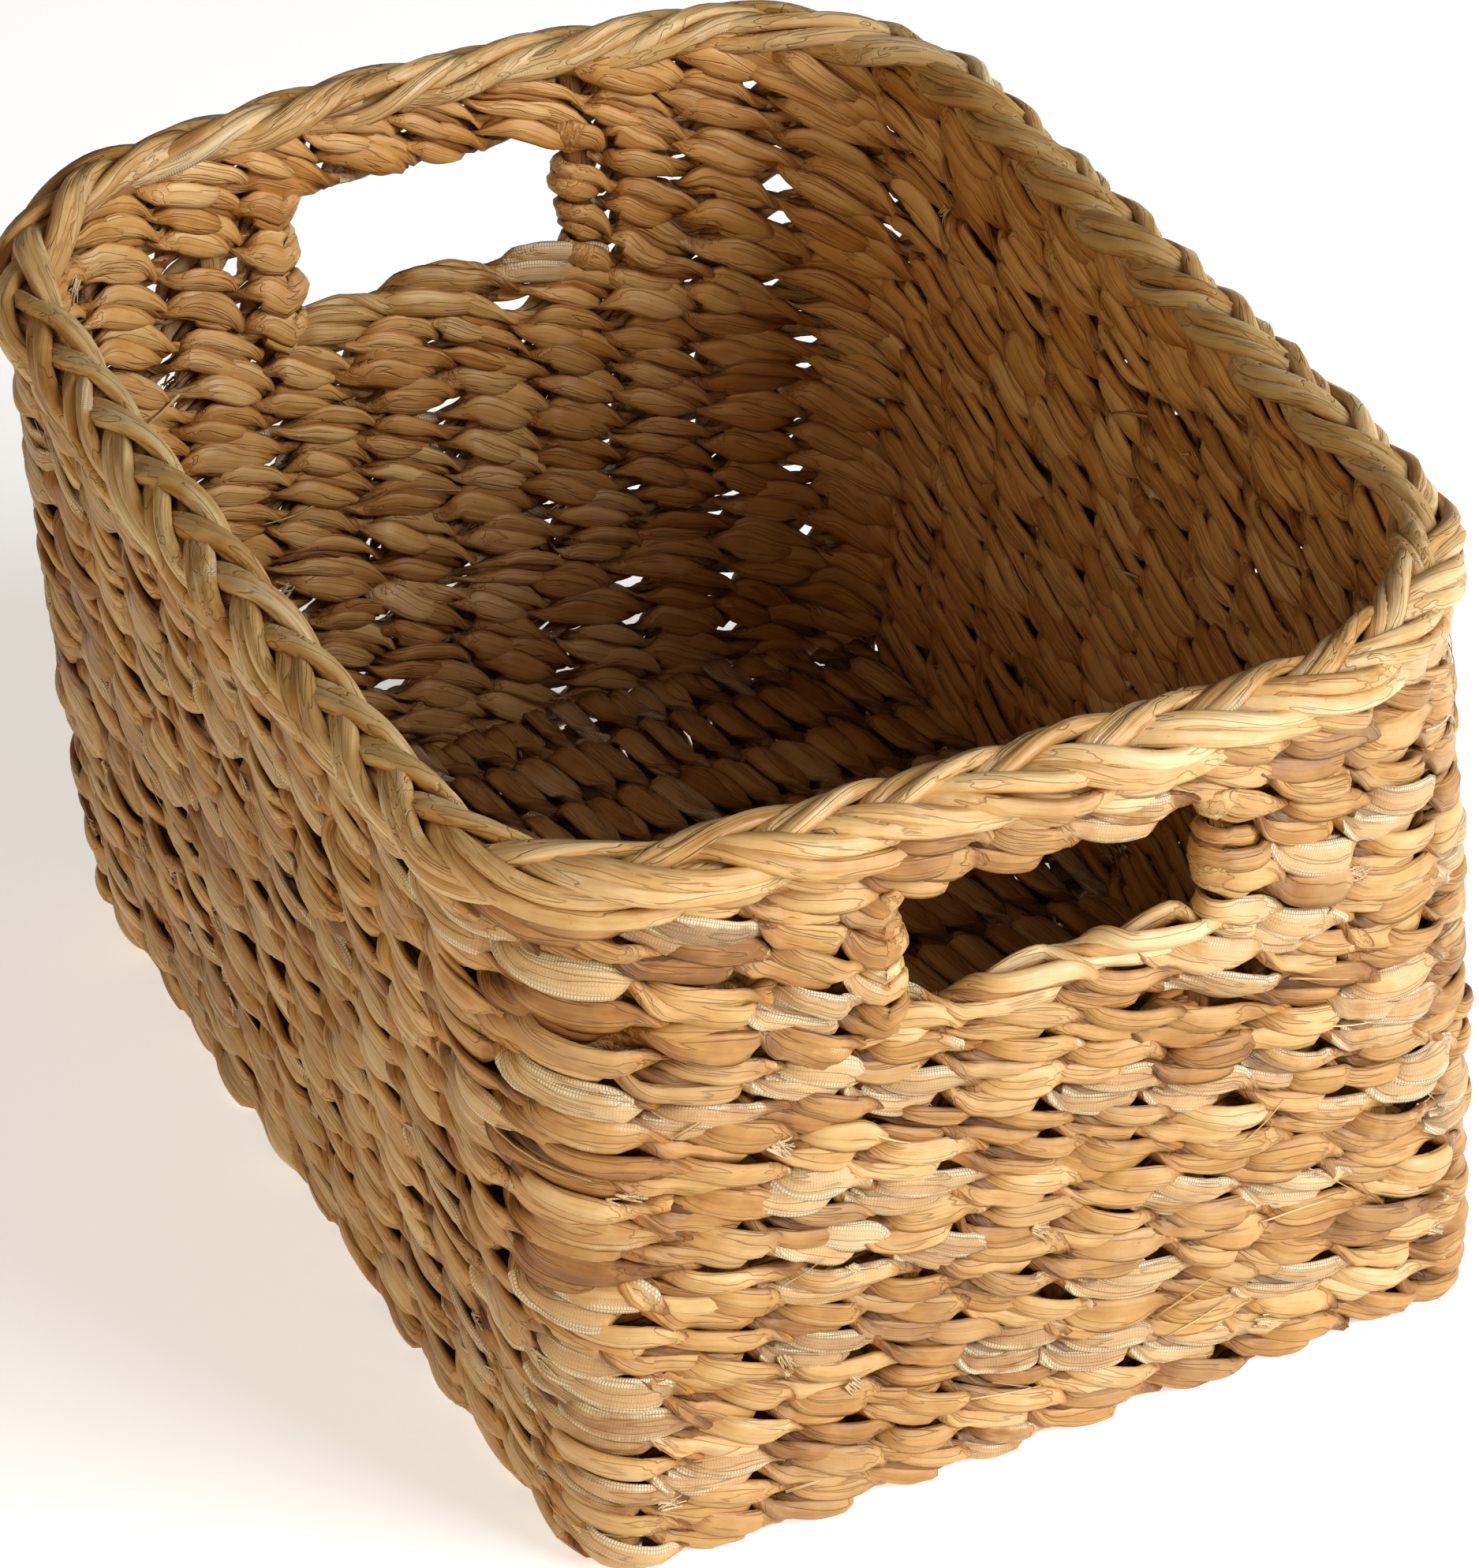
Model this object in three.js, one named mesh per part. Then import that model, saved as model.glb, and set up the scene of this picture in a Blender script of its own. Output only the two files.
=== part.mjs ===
// Twined leaf-fibre magazine basket with a plaited rim and a handle slot in each end.
// Millimetres, +Z up. The origin is the middle of the underside.
// X runs across the basket, Y along it. The near end is at -Y, the far end at +Y.
import * as THREE from 'three';

// Overall size, over the plaited rim and over the weave at the floor
const height = 218;
const rimLength = 404;
const rimWidth = 300;
const baseLength = 372;
const baseWidth = 264;

// Plan shape of the walls, on the middle line of the weave
const rimCornerRadius = 50;
const baseCornerRadius = 14;
const rimEndBow = 13.8;
const rimSideBow = 4.6;
const baseEndBow = 5.5;
const baseSideBow = 1.9;
const belly = 2.6;

// Weave
const wallThickness = 11.2;
const braidWidth = 18.4;
const braidHeight = 19;
const matThickness = 2.7;
const courseCount = 18;
const gap = 0.3;

// Stakes, the upright bundles that the courses are woven round
const stakeThickness = 2.4;
const stakeWidth = 7;
const stakeBendRadius = 4;
const stakeMargin = 0.6;
const sideStakeCount = 11;
const endStakeCount = 8;

// Handle slots, in whole courses
const slotWidth = 82;
const slotCourses = 3;
const barCourses = 1;

// Rounding of the thick pieces' edges, as shares of their widths
const braidRoundShare = 1 / 4;
const rollRoundShare = 1 / 6;
const roundSteps = 2;

// Fineness of the curves
const cornerSteps = 5;
const sideSteps = 4;
const slotSteps = 2;
const wallSteps = 4;
const bendSteps = 3;

// Heights worked out from the layers of the base and the courses above them
const crossLayer = matThickness + gap;
const longLayer = crossLayer + stakeThickness + gap;
const upperMatLayer = longLayer + stakeThickness + gap;
const baseTop = upperMatLayer + matThickness;
const wallTop = height - braidHeight;
const coursePitch = (wallTop - baseTop) / courseCount;
const courseHeight = coursePitch - gap;
const firstSlotCourse = courseCount - barCourses - slotCourses;
const sillCourse = firstSlotCourse - 1;
const courseFloor = (index) => baseTop + gap + index * coursePitch;
const lastCourseTop = courseFloor(courseCount - 1) + courseHeight;
const sillFloor = courseFloor(sillCourse);
const halfSlot = slotWidth / 2;
const slotStep = halfSlot / slotSteps;
const bellyStep = belly / wallSteps ** 2;
const halfWall = wallThickness / 2;

// Where each wall stands in the list of walls and corners of the middle line
const walls = { near: 0, right: 2, far: 4, left: 6 };

// The corners, anticlockwise from the near right one; each turns a quarter from its start angle
const corners = [
  { name: 'near_right', signX: 1, signY: -1, start: -Math.PI / 2 },
  { name: 'far_right', signX: 1, signY: 1, start: 0 },
  { name: 'far_left', signX: -1, signY: 1, start: Math.PI / 2 },
  { name: 'near_left', signX: -1, signY: -1, start: Math.PI },
];

const straw = new THREE.Color(0xc79b62);
const paleStraw = new THREE.Color(0xd8b480);
const stalk = new THREE.Color(0xa97c48);

function finish(colour, roughness) {
  return new THREE.MeshStandardMaterial({ color: colour, roughness, metalness: 0 });
}

const basket = new THREE.Group();

function addPiece(name, geometry, colour, roughness = 0.6) {
  const mesh = new THREE.Mesh(geometry, finish(colour, roughness));
  mesh.name = name;
  basket.add(mesh);
}

function numbered(name, index) {
  return `${name}_${String(index + 1).padStart(2, '0')}`;
}

const lerp = THREE.MathUtils.lerp;

// Sizes of the wall's middle line at a height: half width, half length, corner radius and bows
function planAt(z) {
  const share = z / height;
  const swell = belly * 4 * share * (1 - share);
  const topHalfWidth = rimWidth / 2 - rimSideBow - braidWidth / 2;
  const topHalfLength = rimLength / 2 - rimEndBow - braidWidth / 2;
  const lowHalfWidth = baseWidth / 2 - baseSideBow - halfWall;
  const lowHalfLength = baseLength / 2 - baseEndBow - halfWall;
  return {
    halfWidth: lerp(lowHalfWidth, topHalfWidth, share) + swell,
    halfLength: lerp(lowHalfLength, topHalfLength, share) + swell,
    radius: lerp(baseCornerRadius, rimCornerRadius, share),
    sideBow: lerp(baseSideBow, rimSideBow, share),
    endBow: lerp(baseEndBow, rimEndBow, share),
  };
}

// Places of the stakes of one wall, spread evenly between the stakes in its two corners
function stakePlaces(atEnd) {
  const plan = planAt(0);
  const count = atEnd ? endStakeCount : sideStakeCount;
  const halfRun = (atEnd ? plan.halfWidth : plan.halfLength) - plan.radius * (1 - Math.PI / 4);
  const pitch = (2 * halfRun) / (count + 1);
  return Array.from({ length: count }, (_, index) => pitch * (index - (count - 1) / 2));
}

// How far round a corner a place along a wall lies, as an angle; nothing on the straight run
function angleRound(plan, place, atEnd) {
  const straight = (atEnd ? plan.halfWidth : plan.halfLength) - plan.radius;
  return Math.asin(Math.max(0, Math.abs(place) - straight) / plan.radius);
}

// Half the width of the gap that stakes stand in, in one wall of a course. The wall leans over the
// course's height, turns away from the outermost stake, and bows over the steps of its line.
function stakeRoom(index, atEnd) {
  const low = planAt(courseFloor(index));
  const high = planAt(courseFloor(index) + courseHeight);
  const reach = (plan) => (atEnd ? plan.halfLength + plan.endBow : plan.halfWidth + plan.sideBow);
  const bow = atEnd ? high.endBow : high.sideBow;
  const halfRun = atEnd ? high.halfWidth : high.halfLength;
  const step = atEnd ? slotStep : (2 * (halfRun - high.radius)) / sideSteps;
  const place = Math.max(...stakePlaces(atEnd));
  const edge = place + stakeWidth / 2;
  const lean = Math.abs(reach(high) - reach(low)) / 2;
  const angle = angleRound(high, edge, atEnd) + (2 * bow * place) / halfRun ** 2;
  const turned = (Math.tan(angle) * stakeWidth) / 2;
  const bulged = bow * (step / 2 / halfRun) ** 2;
  return stakeThickness / 2 + gap + lean + turned + bulged + bellyStep;
}

// The leaf left at a handle slot beyond the gap for stakes, and the place of the post it turns round
const slotIndices = Array.from({ length: slotCourses + 1 }, (_, step) => sillCourse + step);
const slotTurn = halfWall - Math.max(...slotIndices.map((index) => stakeRoom(index, true)));
const postPlace = halfSlot + slotTurn + gap + stakeWidth / 2;

// Moves a point of the rounded rectangle outwards, most at the middle of each wall
function bowed(plan, x, y) {
  const across = x / plan.halfWidth;
  const along = y / plan.halfLength;
  const side = plan.sideBow * (1 - along * along) * Math.abs(across) ** 3;
  const end = plan.endBow * (1 - across * across) * Math.abs(along) ** 3;
  return new THREE.Vector2(x + Math.sign(x) * side, y + Math.sign(y) * end);
}

// Places across an end wall where the middle line has a point: the slot's edges are among them
function endPlaces(plan) {
  const straight = plan.halfWidth - plan.radius;
  const shoulder = (straight + halfSlot) / 2;
  const slotPlaces = Array.from({ length: slotSteps }, (_, step) => halfSlot - step * slotStep);
  const places = straight > halfSlot + slotTurn ? [shoulder, ...slotPlaces] : slotPlaces;
  return [...places.map((x) => -x), 0, ...places.reverse()];
}

// Point of a corner's arc, by the angle turned from its start
function cornerPoint(plan, corner, turned) {
  const angle = corner.start + turned;
  const x = corner.signX * (plan.halfWidth - plan.radius) + plan.radius * Math.cos(angle);
  const y = corner.signY * (plan.halfLength - plan.radius) + plan.radius * Math.sin(angle);
  return bowed(plan, x, y);
}

function cornerPoints(plan, corner) {
  const steps = Array.from({ length: cornerSteps + 1 }, (_, step) => step / cornerSteps);
  return steps.map((share) => cornerPoint(plan, corner, (share * Math.PI) / 2));
}

// The middle line of the wall, anticlockwise seen from above, as four walls and four corners
function wallRuns(plan) {
  const places = endPlaces(plan);
  const straight = plan.halfLength - plan.radius;
  const sidePlaces = [];
  for (let step = 1; step < sideSteps; step += 1) {
    sidePlaces.push(straight * ((2 * step) / sideSteps - 1));
  }
  const near = places.map((x) => bowed(plan, x, -plan.halfLength));
  const far = places.map((x) => bowed(plan, -x, plan.halfLength));
  const right = sidePlaces.map((y) => bowed(plan, plan.halfWidth, y));
  const left = sidePlaces.map((y) => bowed(plan, -plan.halfWidth, -y));
  const turns = corners.map((corner) => cornerPoints(plan, corner));
  return [near, turns[0], right, turns[1], far, turns[2], left, turns[3]];
}

// Outward directions along a line of points; a closed line runs on from its last point to its first
function outwardAlong(points, closed) {
  const last = points.length - 1;
  return points.map((point, index) => {
    const before = points[index > 0 ? index - 1 : closed ? last : 0];
    const after = points[index < last ? index + 1 : closed ? 0 : last];
    return new THREE.Vector2(after.y - before.y, before.x - after.x).normalize();
  });
}

function shifted(points, outward, distance) {
  return points.map((point, index) => point.clone().addScaledVector(outward[index], distance));
}

// All points of the middle line, their outward directions, and where each wall and corner starts
function middleLine(plan) {
  const runs = wallRuns(plan);
  const points = runs.flat();
  const outward = outwardAlong(points, true);
  const starts = [];
  let count = 0;
  for (const run of runs) {
    starts.push(count);
    count += run.length;
  }
  return { points, outward, starts, lengths: runs.map((run) => run.length) };
}

function offsetLoop(line, distance) {
  return shifted(line.points, line.outward, distance);
}

// A stretch of the middle line, by the index of its first point and its number of points
function stretch(line, first, count) {
  const total = line.points.length;
  const indices = Array.from({ length: count }, (_, step) => (first + step + total) % total);
  return {
    points: indices.map((index) => line.points[index]),
    outward: indices.map((index) => line.outward[index]),
  };
}

// The long gap inside a course that stakes stand in, along one wall
function stakeGap(part, halfWidth) {
  const outer = shifted(part.points, part.outward, halfWidth);
  const inner = shifted(part.points, part.outward, -halfWidth);
  return new THREE.Path([...outer, ...inner.reverse()]);
}

// The stretch of one wall that its stakes stand in: it runs into the corners where they do
function wallStretch(plan, line, wall) {
  const atEnd = wall === walls.near || wall === walls.far;
  const edge = Math.max(...stakePlaces(atEnd)) + stakeWidth / 2 + stakeMargin;
  const turned = angleRound(plan, edge, atEnd);
  const part = stretch(line, line.starts[wall] - 1, line.lengths[wall] + 2);
  if (turned === 0) {
    return part;
  }
  const after = corners[wall / 2];
  const before = corners[(wall / 2 + 3) % 4];
  const first = cornerPoint(plan, before, Math.PI / 2 - turned);
  const points = [first, ...part.points, cornerPoint(plan, after, turned)];
  return { points, outward: outwardAlong(points, false) };
}

// The part of an end wall's stretch after or before its handle slot, less the leaf that turns back
function besideSlot(part, after) {
  const middle = (part.points.length - 1) / 2;
  const from = after ? middle + slotSteps : 0;
  const to = after ? part.points.length : middle - slotSteps + 1;
  const points = part.points.slice(from, to).map((point) => point.clone());
  const end = after ? 0 : points.length - 1;
  const next = after ? 1 : points.length - 2;
  const direction = points[next].clone().sub(points[end]).normalize();
  points[end].addScaledVector(direction, slotTurn);
  return { points, outward: part.outward.slice(from, to) };
}

// The place and outward direction of a corner stake
function cornerSeat(plan, signX, signY) {
  const reach = plan.radius * Math.SQRT1_2;
  const x = signX * (plan.halfWidth - plan.radius + reach);
  const y = signY * (plan.halfLength - plan.radius + reach);
  return bowed(plan, x, y);
}

// Room for a corner stake in a course: a square on its corner, wide enough for the corner's lean
function cornerHole(index, corner) {
  const floor = courseFloor(index);
  const low = cornerSeat(planAt(floor), corner.signX, corner.signY);
  const high = cornerSeat(planAt(floor + courseHeight), corner.signX, corner.signY);
  const seat = cornerSeat(planAt(floor + courseHeight / 2), corner.signX, corner.signY);
  const lean = low.distanceTo(high) / 2;
  const reach = stakeThickness / Math.SQRT2 + (gap + lean + bellyStep) * Math.SQRT2;
  return new THREE.Path([
    new THREE.Vector2(seat.x + reach, seat.y),
    new THREE.Vector2(seat.x, seat.y + reach),
    new THREE.Vector2(seat.x - reach, seat.y),
    new THREE.Vector2(seat.x, seat.y - reach),
  ]);
}

function raised(shape, floor, depth) {
  const geometry = new THREE.ExtrudeGeometry(shape, { depth, bevelEnabled: false });
  geometry.translate(0, 0, floor);
  return geometry;
}

// A course that runs all the way round, with the gaps that the stakes stand in
function ringCourse(index) {
  const floor = courseFloor(index);
  const plan = planAt(floor + courseHeight / 2);
  const line = middleLine(plan);
  const shape = new THREE.Shape(offsetLoop(line, halfWall));
  shape.holes.push(new THREE.Path(offsetLoop(line, -halfWall)));
  for (const wall of Object.values(walls)) {
    const atEnd = wall === walls.near || wall === walls.far;
    shape.holes.push(stakeGap(wallStretch(plan, line, wall), stakeRoom(index, atEnd)));
  }
  for (const corner of corners) {
    shape.holes.push(cornerHole(index, corner));
  }
  return raised(shape, floor, courseHeight);
}

// Index, in the run of an end wall, of the point at the handle slot's edge
function slotEdge(line, wall, first) {
  const middle = (line.lengths[wall] - 1) / 2;
  return line.starts[wall] + (first ? middle - slotSteps : middle + slotSteps);
}

// A course beside the handle slots: it turns back at the slots, so it is one C on each side
function sideCourse(index, side) {
  const floor = courseFloor(index);
  const plan = planAt(floor + courseHeight / 2);
  const line = middleLine(plan);
  const total = line.points.length;
  const isRight = side === 'right';
  const startWall = isRight ? walls.near : walls.far;
  const endWall = isRight ? walls.far : walls.near;
  const first = slotEdge(line, startWall, false);
  const last = slotEdge(line, endWall, true);
  const count = ((last - first + total) % total) + 1;
  const whole = stretch(line, first, count);
  const outer = shifted(whole.points, whole.outward, halfWall);
  const inner = shifted(whole.points, whole.outward, -halfWall);
  const shape = new THREE.Shape([...outer, ...inner.reverse()]);
  const start = besideSlot(wallStretch(plan, line, startWall), true);
  const end = besideSlot(wallStretch(plan, line, endWall), false);
  shape.holes.push(stakeGap(start, stakeRoom(index, true)));
  shape.holes.push(stakeGap(wallStretch(plan, line, walls[side]), stakeRoom(index, false)));
  shape.holes.push(stakeGap(end, stakeRoom(index, true)));
  for (const corner of corners) {
    if ((corner.signX > 0) === isRight) {
      shape.holes.push(cornerHole(index, corner));
    }
  }
  return raised(shape, floor, courseHeight);
}

function addCourses() {
  for (let index = 0; index < courseCount; index += 1) {
    if (index >= sillCourse && index < courseCount - barCourses) {
      for (const side of ['left', 'right']) {
        addPiece(`${numbered('course', index)}_${side}`, sideCourse(index, side), straw);
      }
    } else {
      addPiece(numbered('course', index), ringCourse(index), straw);
    }
  }
}

// As raised, with the upper and lower edges rounded inside the outline
function rounded(shape, floor, depth, round) {
  const geometry = new THREE.ExtrudeGeometry(shape, {
    depth: depth - 2 * round,
    bevelEnabled: true,
    bevelThickness: round,
    bevelSize: round,
    bevelOffset: -round,
    bevelSegments: roundSteps,
  });
  geometry.translate(0, 0, floor + round);
  return geometry;
}

// The sill roll is a thick twisted pair that closes the weave under a handle slot
function sillRoll(signY) {
  const plan = planAt(sillFloor + courseHeight / 2);
  const slope = (2 * plan.endBow * halfSlot) / plan.halfWidth ** 2;
  const halfRun = halfSlot - gap - halfWall * slope;
  const places = [-halfRun, -halfRun / 2, 0, halfRun / 2, halfRun];
  const points = places.map((x) => bowed(plan, x, signY * plan.halfLength));
  const square = points.map(() => new THREE.Vector2(0, 1));
  const edge = shifted(points, square, halfWall);
  const back = shifted(points, square, -halfWall);
  const shape = new THREE.Shape([...back, ...edge.reverse()]);
  return rounded(shape, sillFloor, courseHeight, wallThickness * rollRoundShare);
}

// The plaited rim: a rounded band that covers the stake ends and overhangs both faces of the wall
function rimBraid() {
  const floor = lastCourseTop + gap;
  const line = middleLine(planAt(height));
  const shape = new THREE.Shape(offsetLoop(line, braidWidth / 2));
  shape.holes.push(new THREE.Path(offsetLoop(line, -braidWidth / 2)));
  return rounded(shape, floor, height - floor, braidWidth * braidRoundShare);
}

// Middle line of a stake in its own upright plane, from the top of one wall down and half way across
// wallPlace gives how far out the wall stands at a height
function stakeHalfLine(wallPlace, layer, top) {
  const middle = layer + stakeThickness / 2;
  const radius = stakeBendRadius + stakeThickness / 2;
  const bendTop = middle + radius;
  const out = wallPlace(bendTop);
  const points = [];
  for (let step = 0; step <= wallSteps; step += 1) {
    const z = lerp(top, bendTop, step / wallSteps);
    points.push(new THREE.Vector2(wallPlace(z), z));
  }
  for (let step = 1; step <= bendSteps; step += 1) {
    const angle = (Math.PI / 2) * (step / bendSteps);
    const across = out - radius + radius * Math.cos(angle);
    points.push(new THREE.Vector2(across, bendTop - radius * Math.sin(angle)));
  }
  return points;
}

// A stake that goes down one wall, across the base and up the other, as an upright outline
function stakeShape(wallPlace, layer, top) {
  const half = stakeHalfLine(wallPlace, layer, top);
  const mirrored = half.map((point) => new THREE.Vector2(-point.x, point.y));
  const line = [...mirrored, ...half.reverse()];
  const outward = outwardAlong(line, false);
  const outer = shifted(line, outward, stakeThickness / 2);
  const inner = shifted(line, outward, -stakeThickness / 2);
  return new THREE.Shape([...outer, ...inner.reverse()]);
}

// Gives an upright outline its width and stands it up: across X, or along Y for a long stake
function uprightStake(shape, place, alongLength) {
  const geometry = new THREE.ExtrudeGeometry(shape, { depth: stakeWidth, bevelEnabled: false });
  geometry.translate(0, 0, -stakeWidth / 2);
  geometry.rotateX(Math.PI / 2);
  if (alongLength) {
    geometry.rotateZ(Math.PI / 2);
    geometry.translate(place, 0, 0);
  } else {
    geometry.translate(0, place, 0);
  }
  return geometry;
}

// How far out a wall's middle line is at a place along the wall and a height, round its corners too
function wallReach(z, place, atEnd) {
  const plan = planAt(z);
  const drop = plan.radius * (1 - Math.cos(angleRound(plan, place, atEnd)));
  return atEnd
    ? bowed(plan, place, plan.halfLength - drop).y
    : bowed(plan, plan.halfWidth - drop, place).x;
}

function addSideStakes() {
  for (const [index, y] of stakePlaces(false).entries()) {
    const shape = stakeShape((z) => wallReach(z, y, false), crossLayer, lastCourseTop);
    addPiece(numbered('side_stake', index), uprightStake(shape, y, false), stalk, 0.7);
  }
}

function addEndStakes() {
  for (const [index, x] of stakePlaces(true).entries()) {
    const underSlot = Math.abs(x) < postPlace + stakeWidth + gap;
    const top = underSlot ? sillFloor - gap : lastCourseTop;
    const shape = stakeShape((z) => wallReach(z, x, true), longLayer, top);
    addPiece(numbered('end_stake', index), uprightStake(shape, x, true), stalk, 0.7);
  }
}

// A stake that stands in the wall from one height to another; seatAt gives its place at a height
function standingStake(seatAt, low, high, facing, width) {
  const half = stakeThickness / 2;
  const shape = new THREE.Shape([
    new THREE.Vector2(-width / 2, -half),
    new THREE.Vector2(width / 2, -half),
    new THREE.Vector2(width / 2, half),
    new THREE.Vector2(-width / 2, half),
  ]);
  const depth = high - low;
  const geometry = new THREE.ExtrudeGeometry(shape, { depth, steps: wallSteps, bevelEnabled: false });
  geometry.rotateZ(facing);
  geometry.translate(0, 0, low);
  const position = geometry.attributes.position;
  for (let index = 0; index < position.count; index += 1) {
    const z = position.getZ(index);
    const seat = seatAt(z);
    position.setXY(index, position.getX(index) + seat.x, position.getY(index) + seat.y);
  }
  return geometry;
}

function addCornerStakes() {
  for (const corner of corners) {
    const seatAt = (z) => cornerSeat(planAt(z), corner.signX, corner.signY);
    const facing = Math.atan2(corner.signY, corner.signX) + Math.PI / 2;
    const geometry = standingStake(seatAt, courseFloor(0), lastCourseTop, facing, stakeThickness);
    addPiece(`corner_stake_${corner.name}`, geometry, stalk, 0.7);
  }
}

// Short stakes at the slots' edges: the side courses turn back round them, and the bar hangs on them
function addSlotPosts() {
  for (const corner of corners) {
    const seatAt = (z) => {
      const plan = planAt(z);
      return bowed(plan, corner.signX * postPlace, corner.signY * plan.halfLength);
    };
    const geometry = standingStake(seatAt, sillFloor, lastCourseTop, 0, stakeWidth);
    addPiece(`slot_post_${corner.name}`, geometry, stalk, 0.7);
  }
}

// The woven base: a mat below the stakes, a mat above them, and the heel course round the edge
function addBase() {
  const lowLine = middleLine(planAt(0));
  const lowShape = new THREE.Shape(offsetLoop(lowLine, halfWall));
  addPiece('base_weave_lower', raised(lowShape, 0, matThickness), straw);

  const highLine = middleLine(planAt(upperMatLayer));
  const highShape = new THREE.Shape(offsetLoop(highLine, -halfWall));
  addPiece('base_weave_upper', raised(highShape, upperMatLayer, matThickness), straw);

  const heelLine = middleLine(planAt(baseTop));
  const heelShape = new THREE.Shape(offsetLoop(heelLine, halfWall));
  const heelRoom = Math.max(stakeRoom(0, true), stakeRoom(0, false));
  heelShape.holes.push(new THREE.Path(offsetLoop(heelLine, heelRoom)));
  addPiece('heel_course', raised(heelShape, crossLayer, baseTop - crossLayer), straw);
}

addBase();
addSideStakes();
addEndStakes();
addCornerStakes();
addSlotPosts();
addCourses();
addPiece('sill_roll_near', sillRoll(-1), paleStraw);
addPiece('sill_roll_far', sillRoll(1), paleStraw);
addPiece('rim_braid', rimBraid(), paleStraw);

export default basket;
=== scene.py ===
"""A twined leaf basket: wall courses, base rows, stakes, plaited rim and hand slots, with its stage."""
import functools
import math

import bpy
import numpy as np
from mathutils import Matrix, Vector
from numpy.random import default_rng


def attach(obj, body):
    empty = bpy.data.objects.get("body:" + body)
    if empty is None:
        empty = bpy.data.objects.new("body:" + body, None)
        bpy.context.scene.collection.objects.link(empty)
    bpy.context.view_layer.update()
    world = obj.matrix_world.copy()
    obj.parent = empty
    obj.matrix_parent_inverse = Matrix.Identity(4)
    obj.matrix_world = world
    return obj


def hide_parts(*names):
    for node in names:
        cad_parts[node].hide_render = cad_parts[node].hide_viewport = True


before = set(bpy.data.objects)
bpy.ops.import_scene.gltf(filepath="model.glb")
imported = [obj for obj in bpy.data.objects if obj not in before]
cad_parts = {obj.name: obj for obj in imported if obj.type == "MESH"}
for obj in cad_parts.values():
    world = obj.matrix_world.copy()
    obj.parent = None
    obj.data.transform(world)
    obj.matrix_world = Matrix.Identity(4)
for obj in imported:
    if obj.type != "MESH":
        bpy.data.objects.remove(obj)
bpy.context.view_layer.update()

bl_info = {
    "name": "Twined leaf basket",
    "version": (1, 0, 0),
    "blender": (4, 5, 0),
    "location": "View3D > Sidebar > Basket",
    "description": "Makes a twined leaf basket piece by piece round its packed frame",
    "category": "Object",
}

MM = 0.001
BODY = "root"
FULL_TURN = 2 * math.pi

# Stakes are counted anticlockwise round the wall from the near left corner.
END_STAKES = 8
SIDE_STAKES = 11
END_PITCH = 27.0
SIDE_PITCH = 28.65
STAKES_ROUND = 2 * (END_STAKES + SIDE_STAKES) + 4
CORNER_STAKES = {"near_left": 0, "near_right": 9, "far_right": 21, "far_left": 30}

# The posts beside a slot: millimetres from the wall's middle, stakes past a stake, and their places.
POST_PLACE = 47.0
POST_INSET = (POST_PLACE - 1.5 * END_PITCH) / END_PITCH
POST_STAKES = {
    "near_right": 6 + POST_INSET, "far_right": 24 - POST_INSET, "far_left": 27 + POST_INSET,
    "near_left": 3 - POST_INSET,
}

# Steps from stake to stake, in a turn and along a stalk, and the sides of a leaf.
TABLE_STEPS = 24
RING_STEPS = 15
BASE_STEPS = 8
PLAIT_STEPS = 12
CORE_STEPS = 6
TURN_STEPS = 7
STALK_STEPS = 16
LEAF_SIDES = 9

# The courses, in millimetres from the floor. A ring's seam lies this far past a corner stake.
FIRST_COURSE_LOW = 11.4
COURSE_PITCH = 10.439
COURSES = 18
SLOT_COURSES = range(14, 18)
RIGHT_COURSE = (6, 24)
LEFT_COURSE = (27, 45)
SEAM_PLACE = 0.6

# The top course is two rows: how far one lies under its middle, and the other one over it and out.
TOP_COURSE_DROP = 3.4
UNDER_RIM_RISE = 4.6
UNDER_RIM_OUT = 1.2

# The heel's height and the base's. The base's rows keep this far from the wall's middle line: at their ends,
# at the ends of the outer ones, and at the sides.
HEEL_PLACE = 6.9
BASE_PLACE = 5.6
BASE_ROWS = 24
BASE_END, BASE_CORNER_END, BASE_SIDE = 5.0, 8.5, 3.9

# The columns of a bundle, which has a row for each ring along it: its place on the wall and the way from
# there, the way its flat face looks, its size and looks, how far apart its leaves lie, and where one lies.
COLUMNS = 15
STAKE, HEIGHT, ALONG, OUT, *OTHERS = range(COLUMNS)
FACE_OUT, FACE_ALONG, FACE_UP, WIDTH, THICK, TONE, PITH, SEED, APART, ASIDE, AHEAD = OTHERS

# How far chance changes a float: shares of its sizes and turn, and millimetres of its height.
VARIES = {"out": 0.12, "fall": 0.25, "turn": 0.2, "height": 0.55, "width": 0.13, "full": 0.14, "apart": 0.3}
CHANCE_LIMITS = {
    "out": (-2, 2), "height": (-2, 2), "roll": (-2, 2), "width": (-1.8, 1.8), "full": (-2, 1.2),
    "apart": (-2, 1.3),
}

# How often a crossing gapes, by stake, and how much wider a gap is in the far wall.
GAP_STAKES = (9, 10, 20, 21, 30, 31)
GAP_CHANCES = (0.12, 0.5, 0.5, 0.9, 0.9, 0.5)
FAR_STAKES = (20, 31)
FAR_GAP = 1.45

# A bundle's leaves: how far on the lower one is, in stakes, how far one is in front of the other, and their
# widths. The inner leaf's place and width are shares of the bundle's, and its tone is lowered by darker,
# which is painted shade in the crossings' gaps.
LEAD = 0.07
STEP_BACK = 0.65
LEAF_WIDTHS = {1: 0.96, -1: 1.06}
INNER_SIDES = 6
INNER = {"out": 0.62, "width": 0.75, "thick": 2.4, "swell": 1.5, "swells_from": 2.9, "darker": 0.35}

# The plait: how many strands, swings to a round and ribbons to a strand, and its sizes in millimetres.
RIM = {
    "strands": 5, "turns": 8, "ribbons": 2, "swing": 12.0, "lift": 3.4, "radius": 7.6, "lean": 0.35,
    "slant": 0.9, "wide": 4.8, "high": 5.3, "middle": 204.6, "ribbon": 4.4, "width": 5.9, "thick": 5.3,
    "start": 0.4, "core": 9.5,
}

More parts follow.
